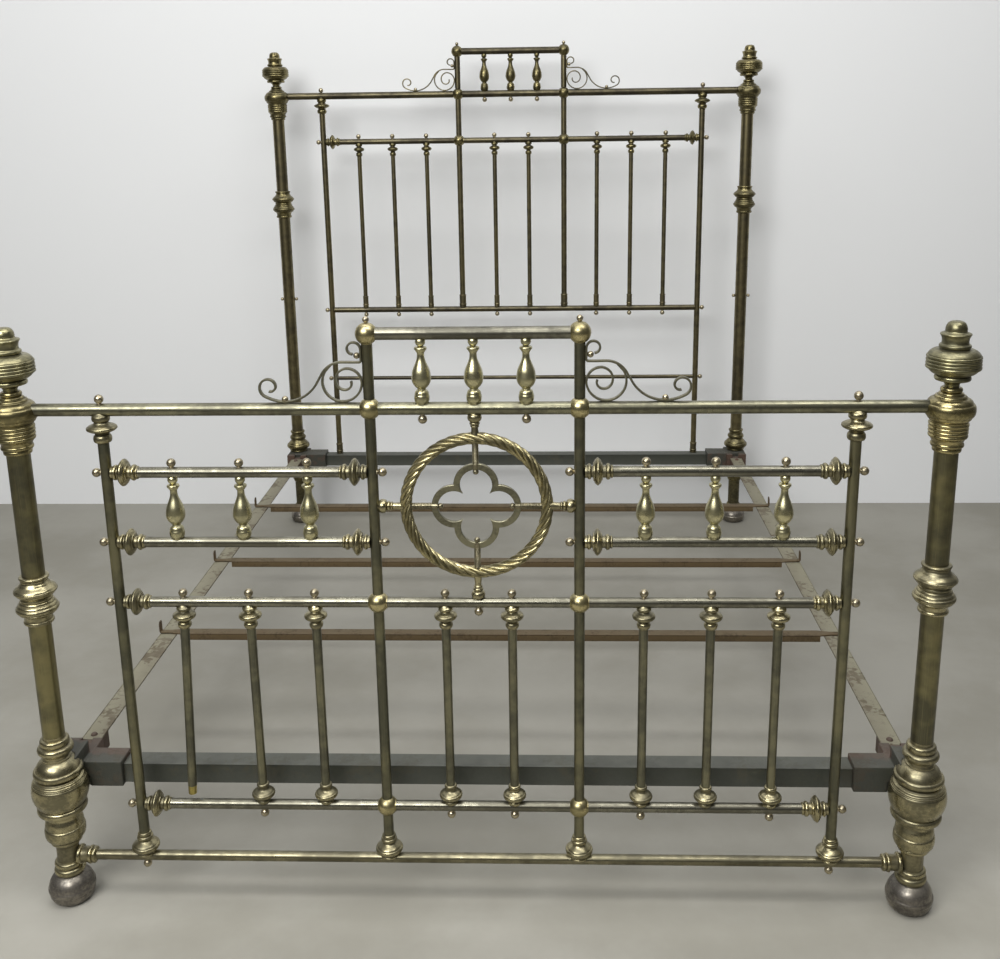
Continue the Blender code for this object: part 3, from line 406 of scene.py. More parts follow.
@dataclass(frozen=True)
class IronFinish(Finish):
    """Iron under paint or rust: a ground colour, patches of a second one, painted shade in the hollows, dust
    and painted top light on faces that look up, and a coarse skin.
    """

    ground: Colour = (0.05, 0.052, 0.045)
    patch: Colour = (0.09, 0.055, 0.03)
    deep: Colour = (0.02, 0.018, 0.015)
    dusty: Colour = (0.16, 0.155, 0.13)
    patch_scale: float = 16.0
    patch_low: float = 0.52
    patch_high: float = 0.60
    smooth: float = 0.48
    dull: float = 0.85
    dust: float = 0.5
    skin: float = 0.25
    skin_scale: float = 260.0
    edge: Colour = (0.12, 0.08, 0.05)
    edge_share: float = 0.5
    rust: Colour = (0.085, 0.050, 0.034)
    rust_span: Point | None = None

    def dress(self, graph: Graph, shader: bpy.types.Node, place: bpy.types.NodeSocket) -> None:
        """Joins the iron's nodes to the shader."""
        patches = self.placed(
            graph, Effects.blotches(), vector=place, scale=self.patch_scale, low=self.patch_low,
            high=self.patch_high
        ).outputs["Mask"]
        patches = graph.add("Clamp", {"Value": patches}).outputs[0]
        specks = self.placed(
            graph, Effects.blotches(), vector=place, scale=self.patch_scale * 5.0, low=0.56, high=0.66
        ).outputs["Mask"]
        specks = graph.add("Clamp", {"Value": specks}).outputs[0]
        hollows = self.placed(graph, Effects.hollows(), vector=place)
        dust = self.placed(graph, Effects.top_dust_and_light(), vector=place, amount=self.dust).outputs["Mask"]
        colour = graph.mix(self.ground, self.patch, patches)
        if self.rust_span:
            wobble = graph.add("TexNoise", {"Vector": place, "Scale": 70.0, "Detail": 4.0}).outputs["Fac"]
            along = graph.math("MULTIPLY_ADD", wobble, 0.03)
            along.node.inputs[2].default_value = -0.015
            along = graph.math("ADD", along, graph.add("SeparateXYZ", {0: place}).outputs["Y"])
            colour = graph.mix(colour, self.rust, graph.spread(along, *self.rust_span, 0.0, 1.0))
        colour = graph.mix(colour, self.deep, graph.math("MULTIPLY", specks, 0.6))
        colour = graph.mix(
            colour, self.edge, graph.math("MULTIPLY", hollows.outputs["Edge"], self.edge_share)
        )
        # Painted shade: the hollows are darkened with the deep colour.
        colour = graph.mix(colour, self.deep, graph.math("MULTIPLY", hollows.outputs["Hollow"], 0.7))
        # Faces that look up are lightened: settled dust, and painted light on the lit tops.
        colour = graph.mix(colour, self.dusty, dust)
        graph.feed(shader.inputs["Base Color"], colour)
        rough = graph.spread(patches, 0.0, 1.0, self.smooth, self.dull)
        graph.feed(shader.inputs["Roughness"], graph.math("ADD", rough, graph.math("MULTIPLY", dust, 0.3)))
        grain = graph.add(
            "TexNoise", {"Vector": place, "Scale": self.skin_scale, "Detail": 5.0, "Roughness": 0.6}
        )
        height = graph.math("ADD", grain.outputs["Fac"], graph.math("MULTIPLY", patches, 0.8))
        bump = graph.add("Bump", {"Height": height, "Strength": self.skin, "Distance": 0.001})
        graph.feed(shader.inputs["Normal"], bump.outputs[0])


UP_AND_DOWN: Place = (500.0, 500.0, 12.0)
ACROSS: Place = (12.0, 500.0, 500.0)
ROUND_ABOUT: Place = (60.0, 60.0, 700.0)

POST_TUBE = BrassFinish(
    "post tube brass", (0.25, 0.222, 0.113), (0.115, 0.108, 0.07), patch_scale=5.0, lines=UP_AND_DOWN,
    smooth=0.31, dull=0.42
)
HEAD_TUBE = BrassFinish(
    "head tube brass", (0.23, 0.195, 0.105), (0.10, 0.088, 0.056), patch_scale=6.0, lines=UP_AND_DOWN,
    smooth=0.32, dull=0.44
)
CAST_BRASS = BrassFinish(
    "cast brass", (0.43, 0.365, 0.18), (0.19, 0.165, 0.085), patch_scale=22.0, lines=ROUND_ABOUT,
    smooth=0.21, dull=0.34
)
DULL_CAST = BrassFinish(
    "dull cast brass", (0.40, 0.355, 0.21), (0.20, 0.182, 0.115), patch_scale=22.0, lines=ROUND_ABOUT,
    smooth=0.24, dull=0.38
)
HEAD_CAST = BrassFinish(
    "head cast brass", (0.24, 0.205, 0.10), (0.11, 0.096, 0.050), patch_scale=22.0, lines=ROUND_ABOUT,
    smooth=0.26, dull=0.42, grime_and_shade_share=0.95
)
CAP_BRASS = BrassFinish(
    "finial brass", (0.31, 0.285, 0.16), (0.165, 0.155, 0.095), patch_scale=18.0, lines=ROUND_ABOUT,
    smooth=0.27, dull=0.42
)
BALL_BRASS = BrassFinish(
    "ball brass", (0.52, 0.45, 0.24), (0.31, 0.27, 0.14), patch_scale=40.0, lines=ROUND_ABOUT, smooth=0.26,
    dull=0.38
)
SPINDLE_BRASS = BrassFinish(
    "spindle brass", (0.58, 0.535, 0.32), (0.38, 0.355, 0.22), patch_scale=34.0, lines=ROUND_ABOUT,
    smooth=0.26, dull=0.36
)
KNOB_BRASS = BrassFinish(
    "nut brass", (0.48, 0.42, 0.29), (0.28, 0.245, 0.17), patch_scale=60.0, lines=ROUND_ABOUT, smooth=0.27,
    dull=0.40
)
TOP_TUBE = BrassFinish(
    "top rail brass", (0.255, 0.245, 0.165), (0.125, 0.12, 0.087), patch_scale=11.0, lines=ACROSS,
    smooth=0.27, dull=0.40
)
RAIL_TUBE = BrassFinish(
    "pale rail brass", (0.25, 0.24, 0.185), (0.14, 0.133, 0.102), patch_scale=11.0, lines=ACROSS,
    smooth=0.22, dull=0.34
)
LOW_TUBE = BrassFinish(
    "bottom rail brass", (0.27, 0.245, 0.155), (0.135, 0.123, 0.08), patch_scale=8.0, lines=ACROSS,
    smooth=0.26, dull=0.40
)
CREST_TUBE = BrassFinish(
    "crest rail brass", (0.22, 0.21, 0.165), (0.11, 0.105, 0.083), patch_scale=14.0, lines=ACROSS,
    smooth=0.30, dull=0.42
)
HEAD_RAIL = BrassFinish(
    "head rail brass", (0.115, 0.10, 0.060), (0.055, 0.048, 0.034), patch_scale=7.0, lines=ACROSS,
    smooth=0.32, dull=0.44
)
UPRIGHT_TUBE = BrassFinish(
    "upright brass", (0.22, 0.205, 0.125), (0.115, 0.113, 0.08), patch_scale=6.0, lines=UP_AND_DOWN,
    smooth=0.32, dull=0.45
)
BALUSTER_TUBE = BrassFinish(
    "baluster brass", (0.225, 0.212, 0.138), (0.125, 0.122, 0.09), patch_scale=8.0, lines=UP_AND_DOWN,
    smooth=0.29, dull=0.42
)
ROPE_BRASS = BrassFinish(
    "rope brass", (0.44, 0.385, 0.21), (0.20, 0.175, 0.095), patch_scale=26.0, smooth=0.24, dull=0.36,
    edge_share=0.6, grime_and_shade_share=1.0
)
STRIP_BRASS = BrassFinish(
    "strip brass", (0.28, 0.265, 0.18), (0.145, 0.137, 0.095), patch_scale=24.0, lines=ROUND_ABOUT,
    smooth=0.30, dull=0.44
)
BARE_TIP = BrassFinish(
    "bare tip brass", (0.52, 0.43, 0.14), (0.36, 0.29, 0.09), patch_scale=60.0, lines=UP_AND_DOWN,
    smooth=0.3, dull=0.42
)
BUN_BRONZE = BrassFinish(
    "bun foot bronze", (0.27, 0.245, 0.205), (0.12, 0.11, 0.098), patch_scale=30.0, lines=ROUND_ABOUT,
    smooth=0.30, dull=0.46, metal=0.85
)
THREAD_STEEL = BrassFinish(
    "threaded rod", (0.30, 0.27, 0.18), (0.14, 0.127, 0.085), patch_scale=80.0, lines=UP_AND_DOWN,
    smooth=0.30, dull=0.45
)
DARK_IRON = IronFinish(
    "dark painted iron", (0.038, 0.041, 0.032), (0.052, 0.050, 0.034), dusty=(0.105, 0.108, 0.092),
    smooth=0.42, dull=0.6, dust=0.75, skin=0.10, edge=(0.10, 0.105, 0.09)
)
BLOCK_PAINT = IronFinish(
    "painted casting", (0.040, 0.042, 0.033), (0.055, 0.048, 0.034), dusty=(0.085, 0.083, 0.068),
    smooth=0.5, dull=0.7, dust=0.6, skin=0.35, skin_scale=180.0, edge=(0.08, 0.08, 0.065)
)
RUST_CASTING = IronFinish(
    "rusty casting", (0.075, 0.050, 0.036), (0.10, 0.050, 0.032), dusty=(0.15, 0.115, 0.09), patch_scale=22.0,
    smooth=0.7, dull=0.9, dust=0.45, skin=0.5, skin_scale=180.0, edge=(0.12, 0.08, 0.06)
)
RAIL_PAINT = IronFinish(
    "flaking rail paint", (0.205, 0.19, 0.128), (0.09, 0.068, 0.040), deep=(0.08, 0.06, 0.035),
    dusty=(0.26, 0.25, 0.19),
    patch_scale=13.0, patch_low=0.53, patch_high=0.58, smooth=0.55, dull=0.85, dust=0.35, skin=0.35,
    edge=(0.10, 0.075, 0.05)
)
LATH_IRON = IronFinish(
    "brown lath iron", (0.094, 0.059, 0.022), (0.055, 0.035, 0.015), deep=(0.03, 0.02, 0.012),
    dusty=(0.12, 0.095, 0.055),
    patch_scale=20.0, smooth=0.6, dull=0.85, dust=0.7, skin=0.3, edge=(0.12, 0.085, 0.04)
)


# Shapes


class Outline:
    """The outline of a turned shape, from its top down, as (radius, height)."""

    def __init__(self, radius: float, height: float) -> None:
        """Starts at a radius and a height."""
        self.points: list[Point] = [(radius, height)]

    def line(self, radius: float, height: float) -> Outline:
        """Goes straight to a radius and a height."""
        self.points.append((radius, height))
        return self

    def _curve(self, radius: float, height: float, bulge: float, count: int, round_ends: bool) -> Outline:
        """Goes to a point with a bulge out of the straight line; round ends leave square to it."""
        (r0, h0) = self.points[-1]
        along = Vector((radius - r0, height - h0))
        outward = Vector((-along.y, along.x)).normalized()
        if outward.x < 0 and abs(outward.x) > 1e-9:
            outward = -outward
        for i in range(1, count + 1):
            t = i / count
            share = (1 - math.cos(math.pi * t)) / 2 if round_ends else t
            push = bulge * (math.sin(math.pi * t) if round_ends else 4 * t * (1 - t))
            self.points.append(
                (max(r0 + along.x * share + outward.x * push, 0.0), h0 + along.y * share + outward.y * push)
            )
        return self

    def bead(self, radius: float, height: float, bulge: float, count: int = 8) -> Outline:
        """Goes to a point round a half-round bead, or round a hollow where bulge is negative."""
        return self._curve(radius, height, bulge, count, True)

    def swell(self, radius: float, height: float, bulge: float, count: int = 8) -> Outline:
        """Goes to a point along a gentle bow."""
        return self._curve(radius, height, bulge, count, False)

    def ease(self, radius: float, height: float, count: int = 8) -> Outline:
        """Goes to a point along an S-curve that starts and ends upright."""
        (r0, h0) = self.points[-1]
        for i in range(1, count + 1):
            t = i / count
            share = t * t * (3 - 2 * t)
            self.points.append((r0 + (radius - r0) * share, h0 + (height - h0) * t))
        return self

    def reeds(self, radius: float, height: float, number: int, bulge: float) -> Outline:
        """Goes to a point over a number of even small beads."""
        (r0, h0) = self.points[-1]
        for i in range(1, number + 1):
            t = i / number
            self.bead(r0 + (radius - r0) * t, h0 + (height - h0) * t, bulge, 6)
        return self

    def ball(
        self, radius: float, neck: float, centre: float, end_neck: float | None = None, count: int = 14
    ) -> Outline:
        """Goes round a ball that is centred at a height, between two necks."""
        start = math.asin(min(1.0, neck / radius))
        finish = math.pi - math.asin(min(1.0, (neck if end_neck is None else end_neck) / radius))
        for i in range(count + 1):
            t = start + (finish - start) * i / count
            self.points.append((radius * math.sin(t), centre + radius * math.cos(t)))
        return self

    def moved(self, height: float) -> Outline:
        """Returns the same outline at another height."""
        other = Outline(0.0, 0.0)
        other.points = [(radius, h + height) for radius, h in self.points]
        return other

    def then(self, other: Outline) -> Outline:
        """Goes on along another outline."""
        self.points += other.points
        return self


def outline_mm(radius: float, height: float) -> Outline:
    """Returns an outline that starts at a radius and a height in millimetres; in_metres gives metres."""
    return Outline(radius, height)


def in_metres(outline: Outline, height: float = 0.0) -> Outline:
    """Returns an outline drawn in millimetres as one in metres, moved up by a height in metres."""
    other = Outline(0.0, 0.0)
    other.points = [(radius * MM, h * MM + height) for radius, h in outline.points]
    return other


def arc(
    cx: float, cz: float, start_r: float, end_r: float, start: float, end: float, step: float = 6.0
) -> list[Point]:
    """Returns points along an arc, or a spiral where the radii differ.

    Args:
        cx: The centre, across.
        cz: The centre, up.
        start_r: The radius at the start.
        end_r: The radius at the end.
        start: The first angle, in degrees.
        end: The last angle, in degrees.
        step: The most degrees between points.
    """
    count = max(3, math.ceil(abs(end - start) / step))
    points = []
    for i in range(count + 1):
        t = i / count
        angle = math.radians(start + (end - start) * t)
        radius = start_r + (end_r - start_r) * t
        points.append((cx + radius * math.cos(angle), cz + radius * math.sin(angle)))
    return points


def rounded_box(width: float, depth: float, radius: float, count: int = 3) -> list[Point]:
    """Returns the corners of a rectangle with rounded corners, about its middle."""
    points = []
    for quarter in range(4):
        sx, sy = ((1, 1), (-1, 1), (-1, -1), (1, -1))[quarter]
        cx, cy = sx * (width / 2 - radius), sy * (depth / 2 - radius)
        for i in range(count + 1):
            angle = math.radians(90 * quarter + 90 * i / count)
            points.append((cx + radius * math.cos(angle), cy + radius * math.sin(angle)))
    return points


class Piece:
    """One visible piece, gathered from turned, swept and flat shapes, in the row frame."""

    def __init__(self, name: str, body: Body = Body.ENDS) -> None:
        """Starts an empty piece.

        Args:
            name: The piece's name.
            body: The body that it rides on.
        """
        self.name = name
        self.body = body
        self.points: list[Vector] = []
        self.faces: list[list[int]] = []
        self.face_finish: list[int] = []
        self.finishes: list[Finish] = []

    def _take(self, points: Iterable[Vector], faces: Iterable[Sequence[int]], finish: Finish) -> None:
        """Adds a shape's points and faces with their finish."""
        base = len(self.points)
        self.points += [Vector(p) for p in points]
        if finish not in self.finishes:
            self.finishes.append(finish)
        index = self.finishes.index(finish)
        for face in faces:
            self.faces.append([base + i for i in face])
            self.face_finish.append(index)

    def lathe(
        self, outline: Outline, finish: Finish, origin: Place = (0.0, 0.0, 0.0), axis: Axis = Axis.UP,
        steps: int = 40
    ) -> Piece:
        """Turns an outline about an axis.

        Args:
            outline: The outline, from its top down.
            finish: The finish of its faces.
            origin: Where height 0 of the outline is.
            axis: Which way its top points.
            steps: How many faces go round it.

        Returns:
            The piece itself.
        """
        turn = axis.matrix()
        points: list[Vector] = []
        rings: list[list[int]] = []
        for radius, height in outline.points:
            count = 1 if radius < 1e-7 else steps
            rings.append(list(range(len(points), len(points) + count)))
            for k in range(count):
                angle = 2 * math.pi * k / steps
                local = Vector((radius * math.cos(angle), radius * math.sin(angle), height))
                points.append(Vector(origin) + turn @ local)
        faces = []
        for upper, lower in zip(rings, rings[1:]):
            for k in range(steps):
                n = (k + 1) % steps
                if len(upper) == 1 and len(lower) == 1:
                    continue
                if len(upper) == 1:
                    faces.append((upper[0], lower[k], lower[n]))
                elif len(lower) == 1:
                    faces.append((upper[k], lower[0], upper[n]))
                else:
                    faces.append((upper[k], lower[k], lower[n], upper[n]))
        self._take(points, faces, finish)
        return self

    def sweep(self, rings: Sequence[Sequence[Vector]], finish: Finish, closed: bool = False) -> Piece:
        """Joins rings of points into a skin, with caps unless it closes on itself.

        Args:
            rings: The rings, each the same number of points, anticlockwise seen from the sweep's end.
            finish: The finish of its faces.
            closed: Whether the last ring joins the first.

        Returns:
            The piece itself.
        """
        size = len(rings[0])
        points = [point for ring in rings for point in ring]
        faces: list[Sequence[int]] = []
        for i in range(len(rings) if closed else len(rings) - 1):
            here, there = i * size, ((i + 1) % len(rings)) * size
            for k in range(size):
                n = (k + 1) % size
                faces.append((here + k, here + n, there + n, there + k))
        if not closed:
            faces.append(list(reversed(range(size))))
            faces.append([len(points) - size + k for k in range(size)])
        self._take(points, faces, finish)
        return self

    def strip(
        self, path: Sequence[Point], thickness: float, width: Callable[[Point], float], finish: Finish,
        origin: Place
    ) -> Piece:
        """Runs a flat bar with eased edges along a path in the XZ plane, its width along Y.

        Args:
            path: The middle line, as (x, z) from origin.
            thickness: How thick the bar is, in the plane.
            width: How wide it is along Y, as a function of the point on the path.
            finish: The finish of its faces.
            origin: Where the path's (0, 0) is.

        Returns:
            The piece itself.
        """
        rings = []
        for i, (x, z) in enumerate(path):
            before, after = path[max(i - 1, 0)], path[min(i + 1, len(path) - 1)]
            along = Vector((after[0] - before[0], 0.0, after[1] - before[1])).normalized()
            across = Vector((-along.z, 0.0, along.x))
            section = rounded_box(thickness, width((x, z)), min(thickness * 0.3, 0.8 * MM), 2)
            middle = Vector((origin[0] + x, origin[1], origin[2] + z))
            rings.append([middle + across * u + Vector((0.0, 1.0, 0.0)) * v for u, v in section])
        return self.sweep(rings, finish)

    def bar(
        self, section: Sequence[Point], start: Vector, end: Vector, finish: Finish, side: Vector, up: Vector
    ) -> Piece:
        """Runs a straight bar of any section between two points.

        Args:
            section: The outline, as (side, up) from the line.
            start: The first end.
            end: The other end.
            finish: The finish of its faces.
            side: The direction of the section's first number.
            up: The direction of its second number.

        Returns:
            The piece itself.
        """
        rings = [[place + side * u + up * v for u, v in section] for place in (start, end)]
        if (end - start).dot(side.cross(up)) < 0:
            rings = [list(reversed(ring)) for ring in rings]
        return self.sweep(rings, finish)

    def block(self, low: Place, high: Place, finish: Finish) -> Piece:
        """Adds a plain block between two corners, for a shape that is worked further."""
        corners = [
            Vector((x, y, z)) for z in (low[2], high[2]) for y in (low[1], high[1]) for x in (low[0], high[0])
        ]
        faces = ((0, 2, 3, 1), (4, 5, 7, 6), (0, 1, 5, 4), (2, 6, 7, 3), (0, 4, 6, 2), (1, 3, 7, 5))
        self._take(corners, faces, finish)
        return self

    def knob(
        self, origin: Place, axis: Axis, tube_r: float, radius: float = 7.6 * MM,
        finish: Finish = KNOB_BRASS
    ) -> Piece:
        """Adds a round nut on a short neck, on the outside of a tube."""
        centre = tube_r + radius * 0.97
        shape = Outline(0.0, centre + radius).ball(radius, 0.0004, centre, radius * 0.62)
        shape.bead(radius * 0.52, tube_r + 0.2 * MM, -0.5 * MM, 4).line(radius * 0.7, tube_r - 0.6 * MM)
        shape.line(radius * 0.7, tube_r - 2.2 * MM)
        return self.lathe(shape, finish, origin, axis, 20)

    def mesh(self) -> bpy.types.Mesh:
        """Returns the gathered shapes as a mesh with its finishes."""
        mesh = bpy.data.meshes.new(self.name)
        mesh.from_pydata(self.points, [], self.faces)
        for finish in self.finishes:
            mesh.materials.append(finish.material())
        mesh.polygons.foreach_set("material_index", self.face_finish)
        mesh.shade_smooth()
        mesh.set_sharp_from_angle(angle=math.radians(38))
        mesh.validate()
        return mesh

    def build(self, slot: Slot, *nodes: str) -> bpy.types.Object:
        """Makes the piece's object.

        Args:
            slot: The record's material slot for the piece; not used.
            nodes: The nodes that it stands for.

        Returns:
            The object, riding on its body.
        """
        piece = bpy.data.objects.new(self.name, self.mesh())
        bpy.context.scene.collection.objects.link(piece)
        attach(piece, self.body.value)
        if nodes:
            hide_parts(*nodes)
        LOG.info("%s: %d faces", self.name, len(self.faces))
        return piece


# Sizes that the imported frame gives

HEAD_BAR_START = 0.278
HEAD_BAR_PITCH = 0.1108
HEAD_BARS_A_SIDE = 3


@dataclass
class Layout:
    """Places of the members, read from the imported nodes."""

    post_x: float = 0.760
    end_bar_x: float = 0.615
    upright_x: float = 0.1705
    foot_y: float = 0.0
    head_y: float = 0.0
    foot_crest_z: float = 1.052
    foot_top_z: float = 0.928
    gallery_z: tuple[float, float] = (0.820, 0.697)
    foot_middle_z: float = 0.588
    foot_lower_z: float = 0.196
    foot_bottom_z: float = 0.089
    head_crest_z: float = 1.591
    head_top_z: float = 1.459
    head_upper_z: float = 1.313
    head_lower_z: float = 0.757
    head_thin_z: float = 0.519
    crest_pitch: float = 0.0845
    ring_z: float = 0.7605
    foot_bars: tuple[float, ...] = ()
    head_bars: tuple[float, ...] = ()

    @staticmethod
    def middle(node: str) -> Vector:
        """Returns the middle of a node's box."""
        low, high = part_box(node)
        return (low + high) / 2

    @classmethod
    def from_frame(cls) -> Layout:
        """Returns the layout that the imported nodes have."""
        foot_y = cls.middle("foot_bottom_rail").y
        head_y = cls.middle("head_thin_rail").y
        bars = [cls.middle(f"foot_baluster_{i}").x for i in range(1, 9)]
        bars[0] = -bars[-1]
        outer = [HEAD_BAR_START + i * HEAD_BAR_PITCH for i in range(HEAD_BARS_A_SIDE)]
        head = [-x for x in reversed(outer)] + [-HEAD_BAR_PITCH / 2, HEAD_BAR_PITCH / 2] + outer
        return cls(
            post_x=cls.middle("foot_post_right").x,
            upright_x=cls.middle("foot_lower_upright_right").x,
            foot_y=foot_y,
            head_y=head_y,
            head_thin_z=cls.middle("head_thin_rail").z,
            foot_bars=tuple(bars),
            head_bars=tuple(head),
        )


TUBE_STEPS = 32
POST_STEPS = 64


@dataclass
class Mouldings:
    """The turned mouldings that repeat over the bed. Millimetres, heights from the place named."""

    ball_r: float = 18.2
    tube_r: float = 9.2
    collar_length: float = 45.0
    head_drop: float = 47.0
    end_head_drop: float = 56.0
    spindle_length: float = 108.0

    def rail_collar(self) -> Outline:
        """Returns the mount at a rail's end, 0 being the bar's side: a ring, a sharp disc and two rings."""
        shape = outline_mm(10.4, 0.5).line(10.7, -0.5).line(10.7, -3.5).bead(10.7, -9.5, 2.4, 8)
        shape.line(9.8, -10.0).line(9.9, -12.4).line(15.6, -13.2).line(15.8, -14.6)
        shape.swell(21.8, -18.4, 0.9, 5).line(22.4, -18.8).bead(22.4, -21.8, 0.6, 5)
        shape.line(21.8, -22.2).swell(15.4, -26.6, 0.9, 5).line(14.8, -27.8).line(10.2, -28.6)
        shape.line(10.2, -31.5).line(10.2, -33.5).bead(10.6, -41.0, 3.2, 8).line(9.6, -41.6)
        return shape.bead(9.6, -45.0, 1.5, 6).line(self.tube_r, -45.6)

    def baluster_head(self) -> Outline:
        """Returns the mount under a rail, from its axis down: a ring, a flattened ball and a small ball."""
        shape = outline_mm(8.5, -4.0).line(11.0, -8.5).bead(11.0, -14.0, 1.6, 6).line(8.6, -15.0)
        shape.line(8.8, -16.5).ease(16.2, -20.5, 5).bead(16.2, -29.0, 3.4, 9).ease(8.4, -33.0, 5)
        return shape.line(8.2, -35.0).bead(8.2, -47.0, 3.6, 10).line(7.8, -48.0)

    def baluster_foot(self) -> Outline:
        """Returns the mount over a rail, from its axis up: a ring, a flattened ball and a base ring."""
        shape = outline_mm(7.8, 44.0).bead(9.0, 37.5, 2.6, 7).line(8.4, 36.0).line(9.0, 33.0)
        shape.ease(17.4, 27.0, 5).bead(17.4, 19.0, 3.0, 9).ease(10.6, 13.5, 5).line(10.2, 12.5)
        return shape.bead(11.0, 6.5, 1.6, 6).line(8.5, 3.0)

    def end_bar_head(self) -> Outline:
        """Returns the flanged mount under the top rail, 0 being the rail's axis."""
        shape = outline_mm(9.0, -4.0).line(12.8, -9.0).bead(12.8, -19.0, 1.9, 8).line(11.4, -20.5)
        shape.line(12.0, -22.0).ease(22.6, -28.0, 6).bead(22.6, -33.5, 2.2, 8).ease(12.0, -39.5, 6)
        return shape.line(11.0, -41.5).bead(11.8, -55.0, 3.6, 9).line(9.3, -56.5)

    def wide_foot(self) -> Outline:
        """Returns the wide mount over the bottom rail, 0 being the rail's axis."""
        shape = outline_mm(9.3, 50.0).bead(11.5, 44.5, 1.6, 6).line(11.0, 43.0)
        shape.bead(11.6, 35.5, 3.0, 8).line(10.8, 34.0).ease(21.5, 25.0, 7).bead(21.5, 16.5, 3.0, 9)
        return shape.ease(14.6, 10.0, 6).line(14.2, 9.2).bead(14.6, 4.8, 1.8, 6).line(9.0, 2.0)

    def spindle(self, length: float) -> Outline:
        """Returns a vase spindle of a length, 0 being its top."""
        shape = outline_mm(5.0, 3.0).ball(8.4, 5.0, -3.6, 4.4, 10)
        shape.bead(4.4, -11.0, -0.6, 4).line(7.6, -12.4).bead(8.4, -18.0, 2.4, 7).ease(5.8, -23.5, 5)
        shape.line(5.9, -27.0).ease(15.2, -60.0, 12).swell(7.4, -83.0, 3.6, 10).bead(7.2, -85.6, -0.4, 4)
        shape.swell(11.6, -94.0, 1.4, 6).bead(11.2, -106.0, 1.2, 6).line(9.0, -110.5)
        scale = length / self.spindle_length
        made = Outline(0.0, 0.0)
        made.points = [(radius, height * scale) for radius, height in shape.points]
        return made

    def joint_ball(self) -> Outline:
        """Returns the ball where rails and uprights meet, 0 being its middle."""
        shape = outline_mm(self.tube_r, 16.2).line(10.6, 15.8).ball(self.ball_r, 10.6, 0.0)
        return shape.line(self.tube_r, -16.2)


MOULDINGS = Mouldings()


COLLAR_HEIGHTS = {
    (End.FOOT, Side.LEFT): 591.0,
    (End.FOOT, Side.RIGHT): 614.0,
    (End.HEAD, Side.LEFT): 1111.0,
    (End.HEAD, Side.RIGHT): 1111.0,
}


